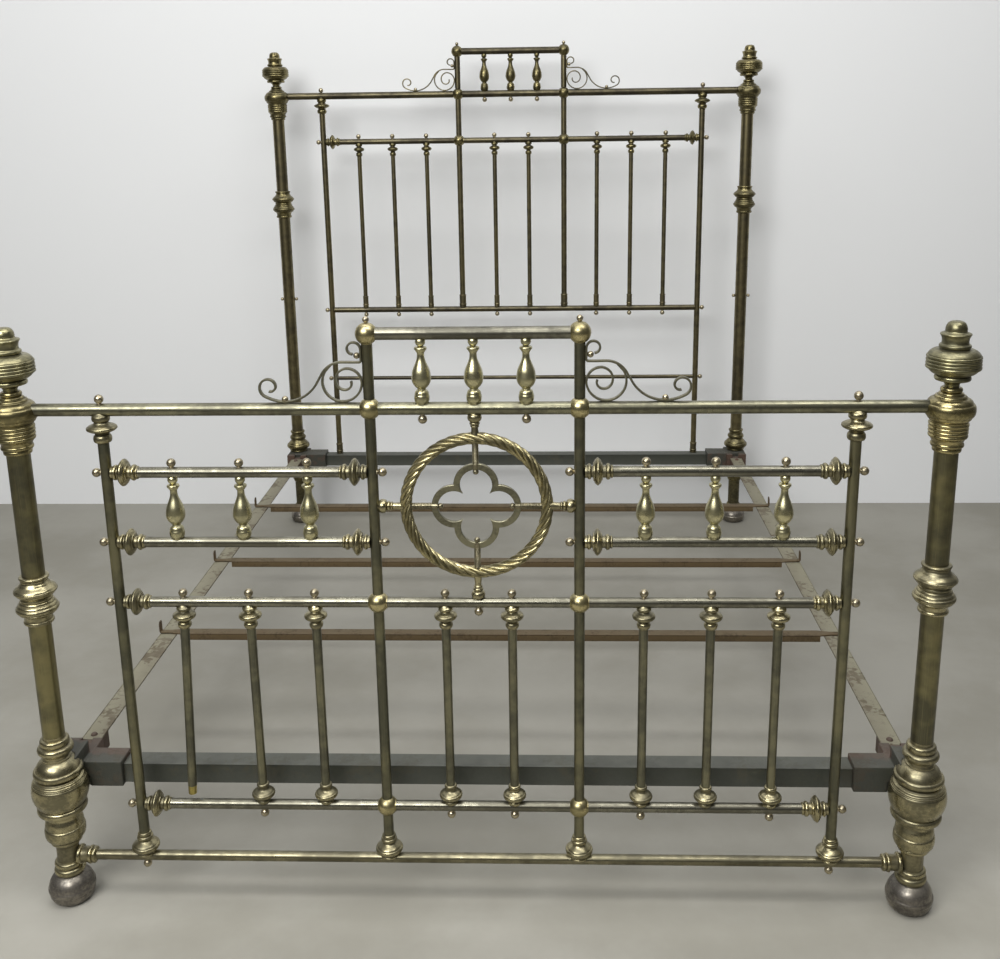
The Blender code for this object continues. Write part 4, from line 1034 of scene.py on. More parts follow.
@dataclass
class Post:
    """One corner post: its tube, cast mouldings, bun foot and finial. Millimetres, heights from the floor."""

    layout: Layout
    end: End
    side: Side
    crown_drop: float = 7.0
    crown_rise: float = 39.5
    tube_r: float = 18.9
    crown_height: float = 106.8
    vase_top: float = 334.0
    collar_squeeze: float = 0.93
    collar_reach: Point = (45.6, 41.6)
    bolt_z: float = 0.796

    @property
    def origin(self) -> Place:
        """Where the post's axis meets the floor."""
        y = self.layout.foot_y if self.end is End.FOOT else self.layout.head_y
        return (self.side.value * self.layout.post_x, y, 0.0)

    @property
    def cap_base(self) -> float:
        """The height where the finial screws on, in millimetres."""
        rail = self.layout.foot_top_z if self.end is End.FOOT else self.layout.head_top_z
        return rail / MM - self.crown_drop + self.crown_rise

    def finial(self) -> Outline:
        """Returns the finial: a dome, two rings and a reeded disc."""
        shape = outline_mm(0.0, 106.4).swell(17.4, 92.5, 6.2, 12).bead(18.0, 89.5, -0.5, 4)
        shape.ease(24.6, 86.4, 5).line(25.0, 85.4).swell(21.6, 71.5, -1.6, 7).bead(23.0, 69.6, -0.3, 3)
        shape.bead(23.2, 63.6, 2.4, 8).line(22.4, 62.2).line(24.4, 61.4).swell(41.6, 53.0, 3.0, 12)
        shape.line(41.4, 52.0).reeds(42.0, 30.0, 4, 2.3).line(40.6, 29.4).swell(29.0, 20.4, 1.2, 8)
        shape.line(26.4, 19.2).bead(27.0, 11.2, 2.6, 8).swell(12.2, 4.6, -2.6, 8).line(11.6, 0.3)
        shape.line(0.0, 0.3)
        shape.points = [(radius * 0.96, height * 0.99) for radius, height in shape.points]
        return shape

    def crown(self) -> Outline:
        """Returns the crown, from the finial down: small rings, a squashed ball and a barrel."""
        shape = outline_mm(0.0, -0.3).line(12.2, -0.3).bead(15.2, -8.2, 3.4, 8).line(14.8, -9.0)
        shape.bead(19.6, -12.6, 1.8, 6).line(20.4, -13.4).bead(25.0, -17.0, 1.6, 6).line(25.6, -17.8)
        shape.swell(35.6, -26.5, 2.2, 7).bead(34.6, -47.5, 4.6, 14).swell(30.0, -54.0, 1.2, 5)
        shape.line(29.4, -55.2).bead(29.2, -57.4, 0.6, 4).reeds(28.4, -82.6, 4, 2.2)
        shape.line(26.4, -85.4).swell(24.4, -91.6, -0.6, 4).bead(23.8, -98.0, 1.9, 8)
        return shape.line(21.6, -99.0).bead(21.2, -106.2, 1.4, 6).line(self.tube_r, -self.crown_height)

    def shaft_collar(self) -> Outline:
        """Returns the double collar on the shaft, 0 being its middle."""
        half = outline_mm(self.tube_r, 47.4).line(22.4, 47.0).bead(22.6, 41.6, 2.2, 7).line(22.0, 40.8)
        half.bead(22.2, 38.6, 0.8, 4).swell(24.6, 33.0, -0.8, 5).ease(34.4, 21.4, 7).bead(33.6, 15.4, 1.6, 7)
        half.line(31.8, 14.4).bead(30.8, 11.6, 0.8, 4).ease(25.6, 6.4, 5)
        lower = outline_mm(25.2, 5.4).bead(25.2, 0.6, 1.4, 5).line(26.0, 0.2).bead(28.6, -5.0, 1.0, 5)
        lower.line(29.2, -5.8).bead(32.4, -11.2, 1.0, 5).line(33.0, -12.0).bead(33.4, -20.6, 2.0, 8)
        lower.line(31.4, -21.8).bead(30.2, -25.0, 0.8, 4).swell(23.4, -34.0, -1.8, 7).line(22.6, -38.6)
        whole = half.then(lower.bead(22.6, -46.2, 2.4, 8).line(self.tube_r, -47.4))
        whole.points = [(radius, height * self.collar_squeeze + 2.0) for radius, height in whole.points]
        return whole

    def foot_vase(self) -> Outline:
        """Returns the cast vase of a foot post, down to its bun foot."""
        shape = outline_mm(self.tube_r, self.vase_top).line(self.tube_r, 327.6).line(22.2, 327.0)
        shape.bead(23.2, 315.4, 2.4, 8).line(22.6, 314.6).line(26.0, 313.4).bead(26.4, 300.6, 4.6, 10)
        shape.line(24.0, 299.4).swell(22.0, 292.0, -0.6, 4).line(24.0, 290.6).bead(24.2, 287.4, 0.8, 4)
        shape.swell(38.0, 269.0, 2.4, 8).bead(38.4, 256.6, 4.2, 12).line(34.6, 255.4).line(34.8, 254.2)
        shape.swell(41.2, 251.6, 0.8, 4)
        for radius, height in ((43.4, 249.0), (45.0, 246.0), (46.2, 242.8)):
            shape.bead(radius, height, 0.7, 4).line(radius - 0.5, height - 0.6)
            shape.line(radius + 0.2, height - 1.2)
        shape.swell(42.2, 202.0, 4.4, 14).swell(39.2, 197.4, 0.5, 4).line(38.6, 196.6)
        shape.bead(38.6, 183.4, 4.4, 10).line(30.6, 180.4).swell(29.0, 172.0, -0.6, 4)
        shape.swell(32.8, 153.0, 1.8, 6).bead(31.8, 130.4, 3.0, 10).line(25.6, 127.8)
        shape.bead(25.0, 119.4, 2.4, 7).line(20.4, 118.6).line(19.6, 117.6).line(19.6, 82.4)
        shape.line(22.0, 81.6).bead(22.2, 70.6, 3.2, 8).line(21.8, 69.8).line(23.4, 68.8)
        return shape.bead(24.0, 56.4, 3.6, 8).line(22.6, 55.4)

    def head_vase(self) -> Outline:
        """Returns the cast collar and the plain lower tube of a head post."""
        shape = outline_mm(self.tube_r, self.vase_top).line(21.8, 333.2).bead(22.4, 326.8, 2.2, 7)
        shape.line(21.6, 325.8).swell(22.6, 316.0, -0.6, 5).bead(24.6, 304.0, 3.6, 9)
        shape.line(23.2, 302.6).ease(33.6, 287.4, 7).bead(33.4, 272.4, 5.2, 12)
        shape.swell(28.6, 265.6, 0.8, 5).bead(27.6, 260.8, 1.2, 5).line(self.tube_r, 260.6)
        shape.line(self.tube_r, 178.0).bead(22.4, 173.0, 1.2, 5).bead(22.0, 155.0, 3.2, 10)
        shape.bead(19.8, 149.0, 1.0, 5).line(self.tube_r, 148.0).line(self.tube_r, 66.0)
        return shape.bead(22.2, 60.0, 1.8, 6).line(21.6, 59.2).bead(22.6, 45.2, 3.6, 8).line(22.0, 44.2)

    def bun(self) -> Outline:
        """Returns the bun foot, from the ring over it to the floor."""
        wide, high = (41.4, 56.0) if self.end is End.FOOT else (40.0, 44.6)
        shape = outline_mm(22.0, high).line(24.2, high - 1.0).swell(wide * 0.965, high * 0.54, 3.4, 12)
        shape.bead(wide * 0.955, high * 0.36, 1.5, 6).swell(wide * 0.72, 0.8, 3.0, 9)
        return shape.line(wide * 0.69, 0.0).line(0.0, 0.0)

    def make(self) -> None:
        """Makes the post and its finial."""
        name = f"{self.end.value}_post_{self.side.word}"
        tube_finish = POST_TUBE if self.end is End.FOOT else HEAD_TUBE
        cast = DULL_CAST if self.end is End.FOOT else HEAD_CAST
        collar = COLLAR_HEIGHTS[(self.end, self.side)]
        crown_low = self.cap_base - self.crown_height
        above, below = self.collar_reach
        post = Piece("brass_" + name)
        crown_finish = CAST_BRASS if self.end is End.FOOT else HEAD_CAST
        post.lathe(in_metres(self.crown().moved(self.cap_base)), crown_finish, self.origin, steps=POST_STEPS)
        for high, low in ((crown_low + 0.6, collar + above), (collar - below, self.vase_top - 0.8)):
            post.lathe(
                in_metres(outline_mm(self.tube_r, high).line(self.tube_r, low)), tube_finish, self.origin,
                steps=POST_STEPS
            )
        post.lathe(in_metres(self.shaft_collar().moved(collar)), cast, self.origin, steps=POST_STEPS)
        vase = self.foot_vase() if self.end is End.FOOT else self.head_vase()
        post.lathe(in_metres(vase), cast, self.origin, steps=POST_STEPS)
        post.lathe(in_metres(self.bun()), BUN_BRONZE, self.origin, steps=POST_STEPS)
        if self.end is End.HEAD:
            for axis in (Axis.LEFT, Axis.RIGHT):
                post.knob((self.origin[0], self.origin[1], self.bolt_z), axis, self.tube_r * MM, 5.6 * MM)
        post.build(Slot.BRASS, name)
        cap_name = f"{self.end.value}_finial_{self.side.word}"
        cap = Piece("brass_" + cap_name)
        cap_finish = CAP_BRASS if self.end is End.FOOT else HEAD_CAST
        cap.lathe(in_metres(self.finial().moved(self.cap_base)), cap_finish, self.origin, steps=POST_STEPS)
        cap.build(Slot.BRIGHT_BRASS, cap_name)


@dataclass
class EndPanel:
    """What the two ends have in common: rails, uprights, crests and scrolls."""

    layout: Layout
    upright_r: float = 9.0
    end_bar_r: float = 9.2
    top_r: float = 10.7
    crest_r: float = 10.5
    ball_seat: float = 15.6
    crown_cover: float = 30.0

    def tube(
        self, piece: Piece, start: float, end: float, radius: float, y: float, z: float, finish: Finish
    ) -> None:
        """Adds a plain tube across the bed, from x start to x end."""
        shape = Outline(radius, end).line(radius, start)
        piece.lathe(shape, finish, (0.0, y, z), Axis.RIGHT, TUBE_STEPS)

    def upright_tube(
        self, piece: Piece, x: float, y: float, low: float, high: float, radius: float, finish: Finish
    ) -> None:
        """Adds a plain upright tube."""
        piece.lathe(Outline(radius, high).line(radius, low), finish, (x, y, 0.0), Axis.UP, TUBE_STEPS)

    def add_joint_balls(self, piece: Piece, y: float, z: float, finish: Finish = BALL_BRASS) -> None:
        """Adds the joint balls where a rail meets the two centre uprights."""
        for side in Side:
            x = side.value * self.layout.upright_x
            piece.lathe(in_metres(MOULDINGS.joint_ball()), finish, (x, y, z), Axis.RIGHT, 36)

    def collared_rail(
        self, piece: Piece, start: float, end: float, y: float, z: float, finish: Finish
    ) -> None:
        """Adds a rail with a turned mount at each end, between two bar axes."""
        bar_r = MOULDINGS.tube_r * MM
        for x, axis in ((start + bar_r, Axis.LEFT), (end - bar_r, Axis.RIGHT)):
            mount_finish = HEAD_CAST if finish is HEAD_RAIL else DULL_CAST
            piece.lathe(in_metres(MOULDINGS.rail_collar()), mount_finish, (x, y, z), axis, 40)
        inset = bar_r + MOULDINGS.collar_length * MM
        self.tube(piece, start + inset, end - inset, bar_r, y, z, finish)

    def scroll(self, end: End, side: Side, rail_z: float, y: float) -> None:
        """Makes one scroll of thin strip, beside a centre upright, with its two small bolts."""
        name = f"{end.value}_scroll_{side.word}"
        piece = Piece("brass_" + name)
        origin = (side.value * self.layout.upright_x, y, rail_z)
        mirror = side.value
        sweep = arc(-22.5, 99.0, 8.6, 12.0, -95, -360, 9)
        sweep += [(-10.5, 94.0), (-10.5, 88.0), (-10.5, 82.0)] + arc(-13.0, 79.9, 2.5, 2.5, 0, -92, 30)
        sweep += [(-20.0, 77.3), (-30.0, 77.4)] + arc(-42.0, 39.2, 38.4, 38.4, 90, 156, 6)
        sweep += arc(-137.3, 74.35, 62.0, 62.0, -34, -116, 5)
        sweep += arc(-162.5, 36.5, 17.3, 15.2, -104, -180, 9)[1:] + arc(
            -162.5, 36.5, 15.2, 11.0, -180, -360, 9
        )[1:]
        sweep += arc(-162.5, 36.5, 11.0, 6.6, -360, -450, 9)[1:]
        spiral = [(-60.0, 72.4), (-63.5, 68.6)] + arc(-42.5, 44.4, 32.05, 32.05, 146, 356, 6)
        spiral += arc(-36.0, 44.4, 25.5, 22.6, 0, 90, 7) + arc(-36.0, 44.4, 22.6, 16.5, 90, 180, 7)[1:]
        spiral += arc(-36.0, 44.4, 16.5, 8.0, 180, 372, 8)[1:]
        for path, wide in ((sweep, 8.0), (spiral, 7.6)):
            points = [(-mirror * x * MM, z * MM) for x, z in path]
            if mirror > 0:
                points.reverse()
            piece.strip(
                points, 3.5 * MM, lambda _point, w=wide: w * MM,
                STRIP_BRASS if end is End.FOOT else HEAD_TUBE, origin
            )
        head = outline_mm(0.0, 7.6).ball(5.4, 0.3, 2.2, 2.8, 10).line(2.8, -4.4)
        for x, z, axis in ((-14.8, 88.2, side.outward), (-137.3, 14.4, Axis.UP)):
            at = (origin[0] - mirror * x * MM, y, rail_z + z * MM)
            piece.lathe(in_metres(head), KNOB_BRASS, at, axis, 16)
        piece.build(Slot.BRASS, name)

    def crest(
        self, end: End, crest_z: float, rail_z: float, y: float, rail_finish: Finish, stem_finish: Finish
    ) -> None:
        """Makes the raised middle of an end: a short rail, ball corners, two stems and three spindles."""
        name = f"{end.value}_crest"
        piece = Piece("brass_" + name)
        x = self.layout.upright_x
        self.tube(piece, -x + 0.014, x - 0.014, self.crest_r * MM, y, crest_z, rail_finish)
        for side in Side:
            at = (side.value * x, y, crest_z)
            corner = outline_mm(0.0, MOULDINGS.ball_r).ball(
                MOULDINGS.ball_r, 0.3, 0.0, 9.2, 18
            ).line(9.0, -16.2)
            piece.lathe(in_metres(corner), HEAD_CAST if end is End.HEAD else BALL_BRASS, at, Axis.UP, 36)
            piece.knob(at, Axis.UP, (MOULDINGS.ball_r - 0.5) * MM, 5.4 * MM)
            self.upright_tube(
                piece, at[0], y, rail_z + 17.0 * MM, crest_z - 15.5 * MM, self.upright_r * MM, stem_finish
            )
        drop = (crest_z - rail_z) / MM - self.crest_r - self.top_r
        for place in (-self.layout.crest_pitch, 0.0, self.layout.crest_pitch):
            shape = in_metres(MOULDINGS.spindle(drop + 1.0), crest_z - (self.crest_r - 0.5) * MM)
            piece.lathe(shape, HEAD_CAST if end is End.HEAD else SPINDLE_BRASS, (place, y, 0.0), Axis.UP, 36)
        piece.build(Slot.BRASS, name)


@dataclass
class FootEnd(EndPanel):
    """The foot end: top rail and crest, two galleries, ring and quatrefoil, balusters and bottom rail."""

    baluster_r: float = 7.8
    loose_end_z: float = 0.217
    loose_lean: float = math.radians(2.3)
    lower_knobs: tuple[int, ...] = (1, 3, 4, 5, 7)

    def make(self) -> None:
        """Makes every piece of the foot end."""
        self.top_rail()
        self.crest(
            End.FOOT, self.layout.foot_crest_z, self.layout.foot_top_z, self.layout.foot_y, CREST_TUBE,
            UPRIGHT_TUBE
        )
        for side in Side:
            self.gallery(side)
            self.end_bar(side)
            self.uprights(side)
            self.scroll(End.FOOT, side, self.layout.foot_top_z, self.layout.foot_y)
        self.middle_rail()
        self.lower_rail()
        self.bottom_rail()
        for number, x in enumerate(self.layout.foot_bars, start=1):
            self.baluster(number, x)
        Ring(self.layout).make()
        Quatrefoil(self.layout).make()

    def top_rail(self) -> None:
        """Makes the top rail between the crowns."""
        y, z = self.layout.foot_y, self.layout.foot_top_z
        piece = Piece("brass_foot_top_rail")
        reach = self.layout.post_x - self.crown_cover * MM
        self.tube(piece, -reach, reach, self.top_r * MM, y, z, TOP_TUBE)
        self.add_joint_balls(piece, y, z)
        for side in Side:
            piece.knob((side.value * self.layout.end_bar_x, y, z), Axis.UP, self.top_r * MM)
            piece.knob((side.value * self.layout.crest_pitch, y, z), Axis.DOWN, self.top_r * MM)
        piece.build(Slot.BRASS, "foot_top_rail")

    def gallery(self, side: Side) -> None:
        """Makes one gallery: two short rails with three vase spindles between them."""
        name = f"foot_gallery_{side.word}"
        piece = Piece("brass_" + name)
        y = self.layout.foot_y
        start, end = sorted((side.value * self.layout.upright_x, side.value * self.layout.end_bar_x))
        top, low = self.layout.gallery_z
        for z in (top, low):
            self.collared_rail(piece, start, end, y, z, RAIL_TUBE)
        bars = [x for x in self.layout.foot_bars if x * side.value > 0.2]
        drop = (top - low) / MM - 2 * MOULDINGS.tube_r
        for x in bars:
            shape = in_metres(MOULDINGS.spindle(drop + 1.0), top - (MOULDINGS.tube_r - 0.5) * MM)
            piece.lathe(shape, SPINDLE_BRASS, (x, y, 0.0), Axis.UP, 36)
            piece.knob((x, y, top), Axis.UP, MOULDINGS.tube_r * MM)
        piece.build(Slot.BRASS, name)

    def end_bar(self, side: Side) -> None:
        """Makes an end bar with its mounts and the nuts on its outer side."""
        name = f"foot_end_bar_{side.word}"
        piece = Piece("brass_" + name)
        x, y = side.value * self.layout.end_bar_x, self.layout.foot_y
        top, low = self.layout.foot_top_z, self.layout.foot_bottom_z
        piece.lathe(in_metres(MOULDINGS.end_bar_head(), top), DULL_CAST, (x, y, 0.0))
        piece.lathe(in_metres(MOULDINGS.wide_foot(), low), DULL_CAST, (x, y, 0.0))
        self.upright_tube(
            piece, x, y, low + 0.049, top - MOULDINGS.end_head_drop * MM, self.end_bar_r * MM, UPRIGHT_TUBE
        )
        for z in (*self.layout.gallery_z, self.layout.foot_middle_z, self.layout.foot_lower_z):
            piece.knob((x, y, z), side.outward, self.end_bar_r * MM)
        piece.build(Slot.BRASS, name)

    def uprights(self, side: Side) -> None:
        """Makes one centre upright, in its three lengths."""
        x, y = side.value * self.layout.upright_x, self.layout.foot_y
        levels = (self.layout.foot_top_z, self.layout.foot_middle_z, self.layout.foot_lower_z)
        seat = self.ball_seat * MM
        upper = Piece(f"brass_foot_upper_upright_{side.word}")
        self.upright_tube(upper, x, y, levels[1] + seat, levels[0] - seat, self.upright_r * MM, UPRIGHT_TUBE)
        for z in self.layout.gallery_z:
            upper.knob((x, y, z), side.inward, self.upright_r * MM)
        upper.build(Slot.BRASS, f"foot_upper_upright_{side.word}")
        lower = Piece(f"brass_foot_lower_upright_{side.word}")
        self.upright_tube(lower, x, y, levels[2] + seat, levels[1] - seat, self.upright_r * MM, UPRIGHT_TUBE)
        lower.build(Slot.BRASS, f"foot_lower_upright_{side.word}")
        base = Piece(f"brass_foot_upright_base_{side.word}")
        self.upright_tube(
            base, x, y, self.layout.foot_bottom_z + 0.046, levels[2] - seat, self.upright_r * MM,
            UPRIGHT_TUBE
        )
        base.lathe(in_metres(MOULDINGS.wide_foot(), self.layout.foot_bottom_z), DULL_CAST, (x, y, 0.0))
        base.build(Slot.BRASS, f"foot_upright_base_{side.word}")

    def middle_rail(self) -> None:
        """Makes the rail that the balusters hang from."""
        y, z = self.layout.foot_y, self.layout.foot_middle_z
        piece = Piece("brass_foot_middle_rail")
        self.collared_rail(piece, -self.layout.end_bar_x, self.layout.end_bar_x, y, z, RAIL_TUBE)
        self.add_joint_balls(piece, y, z)
        for x in self.layout.foot_bars:
            piece.knob((x, y, z), Axis.UP, MOULDINGS.tube_r * MM)
        piece.knob((0.0, y, z), Axis.DOWN, MOULDINGS.tube_r * MM)
        piece.build(Slot.BRASS, "foot_middle_rail")

    def lower_rail(self) -> None:
        """Makes the rail that the balusters stand on, which has lost three of its nuts."""
        y, z = self.layout.foot_y, self.layout.foot_lower_z
        piece = Piece("brass_foot_lower_rail")
        self.collared_rail(piece, -self.layout.end_bar_x, self.layout.end_bar_x, y, z, RAIL_TUBE)
        self.add_joint_balls(piece, y, z)
        for index in self.lower_knobs:
            piece.knob((self.layout.foot_bars[index], y, z), Axis.DOWN, MOULDINGS.tube_r * MM)
        # Painted shade: a dark iron disc on the rail stands for the shaded inside of the hole where the first
        # baluster's mount was.
        hole_shade_disc = outline_mm(0.0, 9.35).line(3.2, 9.3).line(3.4, 8.6)
        piece.lathe(in_metres(hole_shade_disc), DARK_IRON, (self.layout.foot_bars[0], y, z), Axis.UP, 16)
        piece.build(Slot.BRASS, "foot_lower_rail")

    def bottom_rail(self) -> None:
        """Makes the bottom rail between the posts' feet."""
        y, z = self.layout.foot_y, self.layout.foot_bottom_z
        piece = Piece("brass_foot_bottom_rail")
        face = self.layout.post_x - 19.0 * MM
        mount = outline_mm(12.6, 0.0).line(16.4, -1.0).bead(16.4, -7.6, 2.0, 8).line(14.2, -8.6)
        mount.line(14.0, -20.0).line(14.4, -20.8).bead(14.6, -26.6, 1.8, 6).line(12.8, -27.6)
        mount.bead(12.6, -34.0, 2.2, 7).line(MOULDINGS.tube_r, -35.6)
        for x, axis in ((-face, Axis.LEFT), (face, Axis.RIGHT)):
            piece.lathe(in_metres(mount), DULL_CAST, (x, y, z), axis)
        self.tube(piece, -face + 0.035, face - 0.035, MOULDINGS.tube_r * MM, y, z, LOW_TUBE)
        for side in Side:
            piece.knob((side.value * self.layout.end_bar_x, y, z), Axis.DOWN, MOULDINGS.tube_r * MM)
        piece.build(Slot.BRASS, "foot_bottom_rail")

    def baluster(self, number: int, x: float) -> None:
        """Makes one baluster. The first has lost its lower mount and hangs short, a little askew."""
        name = f"foot_baluster_{number}"
        piece = Piece("brass_" + name)
        y, top, low = self.layout.foot_y, self.layout.foot_middle_z, self.layout.foot_lower_z
        piece.lathe(in_metres(MOULDINGS.baluster_head(), top), DULL_CAST, (x, y, 0.0))
        if number > 1:
            self.upright_tube(
                piece, x, y, low + 0.043, top - MOULDINGS.head_drop * MM, self.baluster_r * MM,
                BALUSTER_TUBE
            )
            piece.lathe(in_metres(MOULDINGS.baluster_foot(), low), DULL_CAST, (x, y, 0.0))
            piece.build(Slot.BRASS, name)
            return
        self.upright_tube(
            piece, x, y, self.loose_end_z + 0.017, top - MOULDINGS.head_drop * MM, self.baluster_r * MM,
            BALUSTER_TUBE
        )
        tip = outline_mm(self.baluster_r, 17.0).line(7.6, 16.4).line(7.4, 1.2)
        tip.bead(5.2, 0.2, 0.4, 4).line(4.8, 4.0).line(0.0, 4.0)
        piece.lathe(in_metres(tip, self.loose_end_z), BARE_TIP, (x, y, 0.0), steps=24)
        there, back = Matrix.Translation((x, y, top)), Matrix.Translation((-x, -y, -top))
        lean = there @ Matrix.Rotation(self.loose_lean, 4, "Y") @ back
        piece.points = [lean @ point for point in piece.points]
        piece.build(Slot.BRASS, name)


@dataclass
class Ring:
    """The rope-twist ring with its four turned mounts."""

    layout: Layout
    radius: float = 117.0
    tube_r: float = 10.0
    strands: int = 6
    turns: int = 7
    around: int = 84
    along: int = 560

    def twisted(self, piece: Piece) -> None:
        """Adds the ring, its section swollen into strands that wind round it."""
        centre = Vector((0.0, self.layout.foot_y, self.layout.ring_z))
        rings = []
        for i in range(self.along):
            theta = 2 * math.pi * i / self.along
            outward = Vector((math.cos(theta), 0.0, math.sin(theta)))
            section = []
            for k in range(self.around):
                phi = 2 * math.pi * k / self.around
                phase = self.strands * phi / 2 + self.strands * self.turns * theta / 2
                swell = 0.66 + 0.36 * abs(math.sin(phase)) ** 0.55
                reach = self.tube_r * MM * swell
                across = outward * math.cos(phi) + Vector((0.0, -1.0, 0.0)) * math.sin(phi)
                section.append(centre + outward * self.radius * MM + across * reach)
            rings.append(section)
        piece.sweep(rings, ROPE_BRASS, closed=True)

    def mount(self, reach: float) -> Outline:
        """Returns a turned mount from the ring out to a member's axis, 0 being the ring's centre."""
        tip = self.radius + 7.0
        shape = outline_mm(7.0, reach - 6.5).line(8.6, reach - 9.0).bead(7.8, reach - 21.5, 3.6, 10)
        shape.line(6.2, reach - 22.4).bead(6.6, reach - 27.5, 2.2, 7).line(5.8, reach - 28.4)
        shape.bead(6.2, reach - 31.5, 1.4, 5).line(5.6, reach - 32.2)
        return shape.swell(7.2, tip, -0.4, 5).line(7.2, tip - 3.0)

    def make(self) -> None:
        """Makes the ring."""
        piece = Piece("brass_rope_ring")
        self.twisted(piece)
        origin = (0.0, self.layout.foot_y, self.layout.ring_z)
        up = (self.layout.foot_top_z - self.layout.ring_z) / MM
        down = (self.layout.ring_z - self.layout.foot_middle_z) / MM
        across = self.layout.upright_x / MM
        for axis, reach in ((Axis.UP, up), (Axis.DOWN, down), (Axis.LEFT, across), (Axis.RIGHT, across)):
            piece.lathe(in_metres(self.mount(reach)), DULL_CAST, origin, axis, 32)
        piece.build(Slot.BRASS, "rope_ring")


@dataclass
class Quatrefoil:
    """Four joined lobes of flat strip inside the ring, on four threaded rods."""

    layout: Layout
    offset: float = 37.0
    lobe_r: float = 32.0
    strip: float = 10.6
    thick: float = 7.0
    rod_r: float = 5.5
    ring_inner: float = 106.4
    thread_pitch: float = 2.4

    def outline(self, radius: float, count: int) -> list[Point]:
        """Returns the four-lobed outline whose lobes have a radius."""
        corner = (self.offset + math.sqrt(2 * radius**2 - self.offset**2)) / 2
        reach = math.degrees(math.atan2(corner, corner - self.offset))
        points = []
        for quarter in range(4):
            turn = 90.0 * quarter
            cx, cz = self.offset * math.cos(math.radians(turn)), self.offset * math.sin(math.radians(turn))
            for i in range(count):
                angle = math.radians(turn - reach + 2 * reach * i / (count - 1))
                points.append((cx + radius * math.cos(angle), cz + radius * math.sin(angle)))
        return points

    def frame_strip(self, piece: Piece, count: int = 26) -> None:
        """Adds the lobed strip, with its front and back edges eased."""
        half, thick, ease = self.strip / 2, self.thick / 2, 0.8
        layers = (
            (half, -thick + ease), (half - ease, -thick), (-half + ease, -thick), (-half, -thick + ease)
        )
        layers += ((-half, thick - ease), (-half + ease, thick), (half - ease, thick), (half, thick - ease))
        centre = Vector((0.0, self.layout.foot_y, self.layout.ring_z))
        loops = [self.outline(self.lobe_r + inset, count) for inset, _depth in layers]
        rings = []
        for i in range(4 * count):
            section = []
            for loop, (_inset, depth) in zip(loops, layers):
                x, z = loop[i]
                section.append(centre + Vector((x, depth, z)) * MM)
            rings.append(list(reversed(section)))
        piece.sweep(rings, STRIP_BRASS, closed=True)

    def rod(self) -> Outline:
        """Returns a threaded rod from the ring in to a ball nut inside a lobe, 0 being the centre."""
        inside = self.offset + self.lobe_r
        shape = outline_mm(self.rod_r, self.ring_inner + 4.0)
        height = self.ring_inner + 2.0
        while height > inside + 5.0:
            shape.line(self.rod_r, height - 0.6).line(self.rod_r - 0.6, height - 1.2)
            shape.line(self.rod_r, height - 1.9)
            height -= self.thread_pitch
        shape.line(self.rod_r, inside - 4.4).line(3.4, inside - 5.2)
        return shape.ball(5.0, 3.4, inside - 9.4, 0.2, 10).line(0.0, inside - 14.4)

    def make(self) -> None:
        """Makes the quatrefoil."""
        piece = Piece("brass_quatrefoil")
        self.frame_strip(piece)
        origin = (0.0, self.layout.foot_y, self.layout.ring_z)
        for axis in Axis:
            piece.lathe(in_metres(self.rod()), THREAD_STEEL, origin, axis, 24)
        piece.build(Slot.BRASS, "quatrefoil")


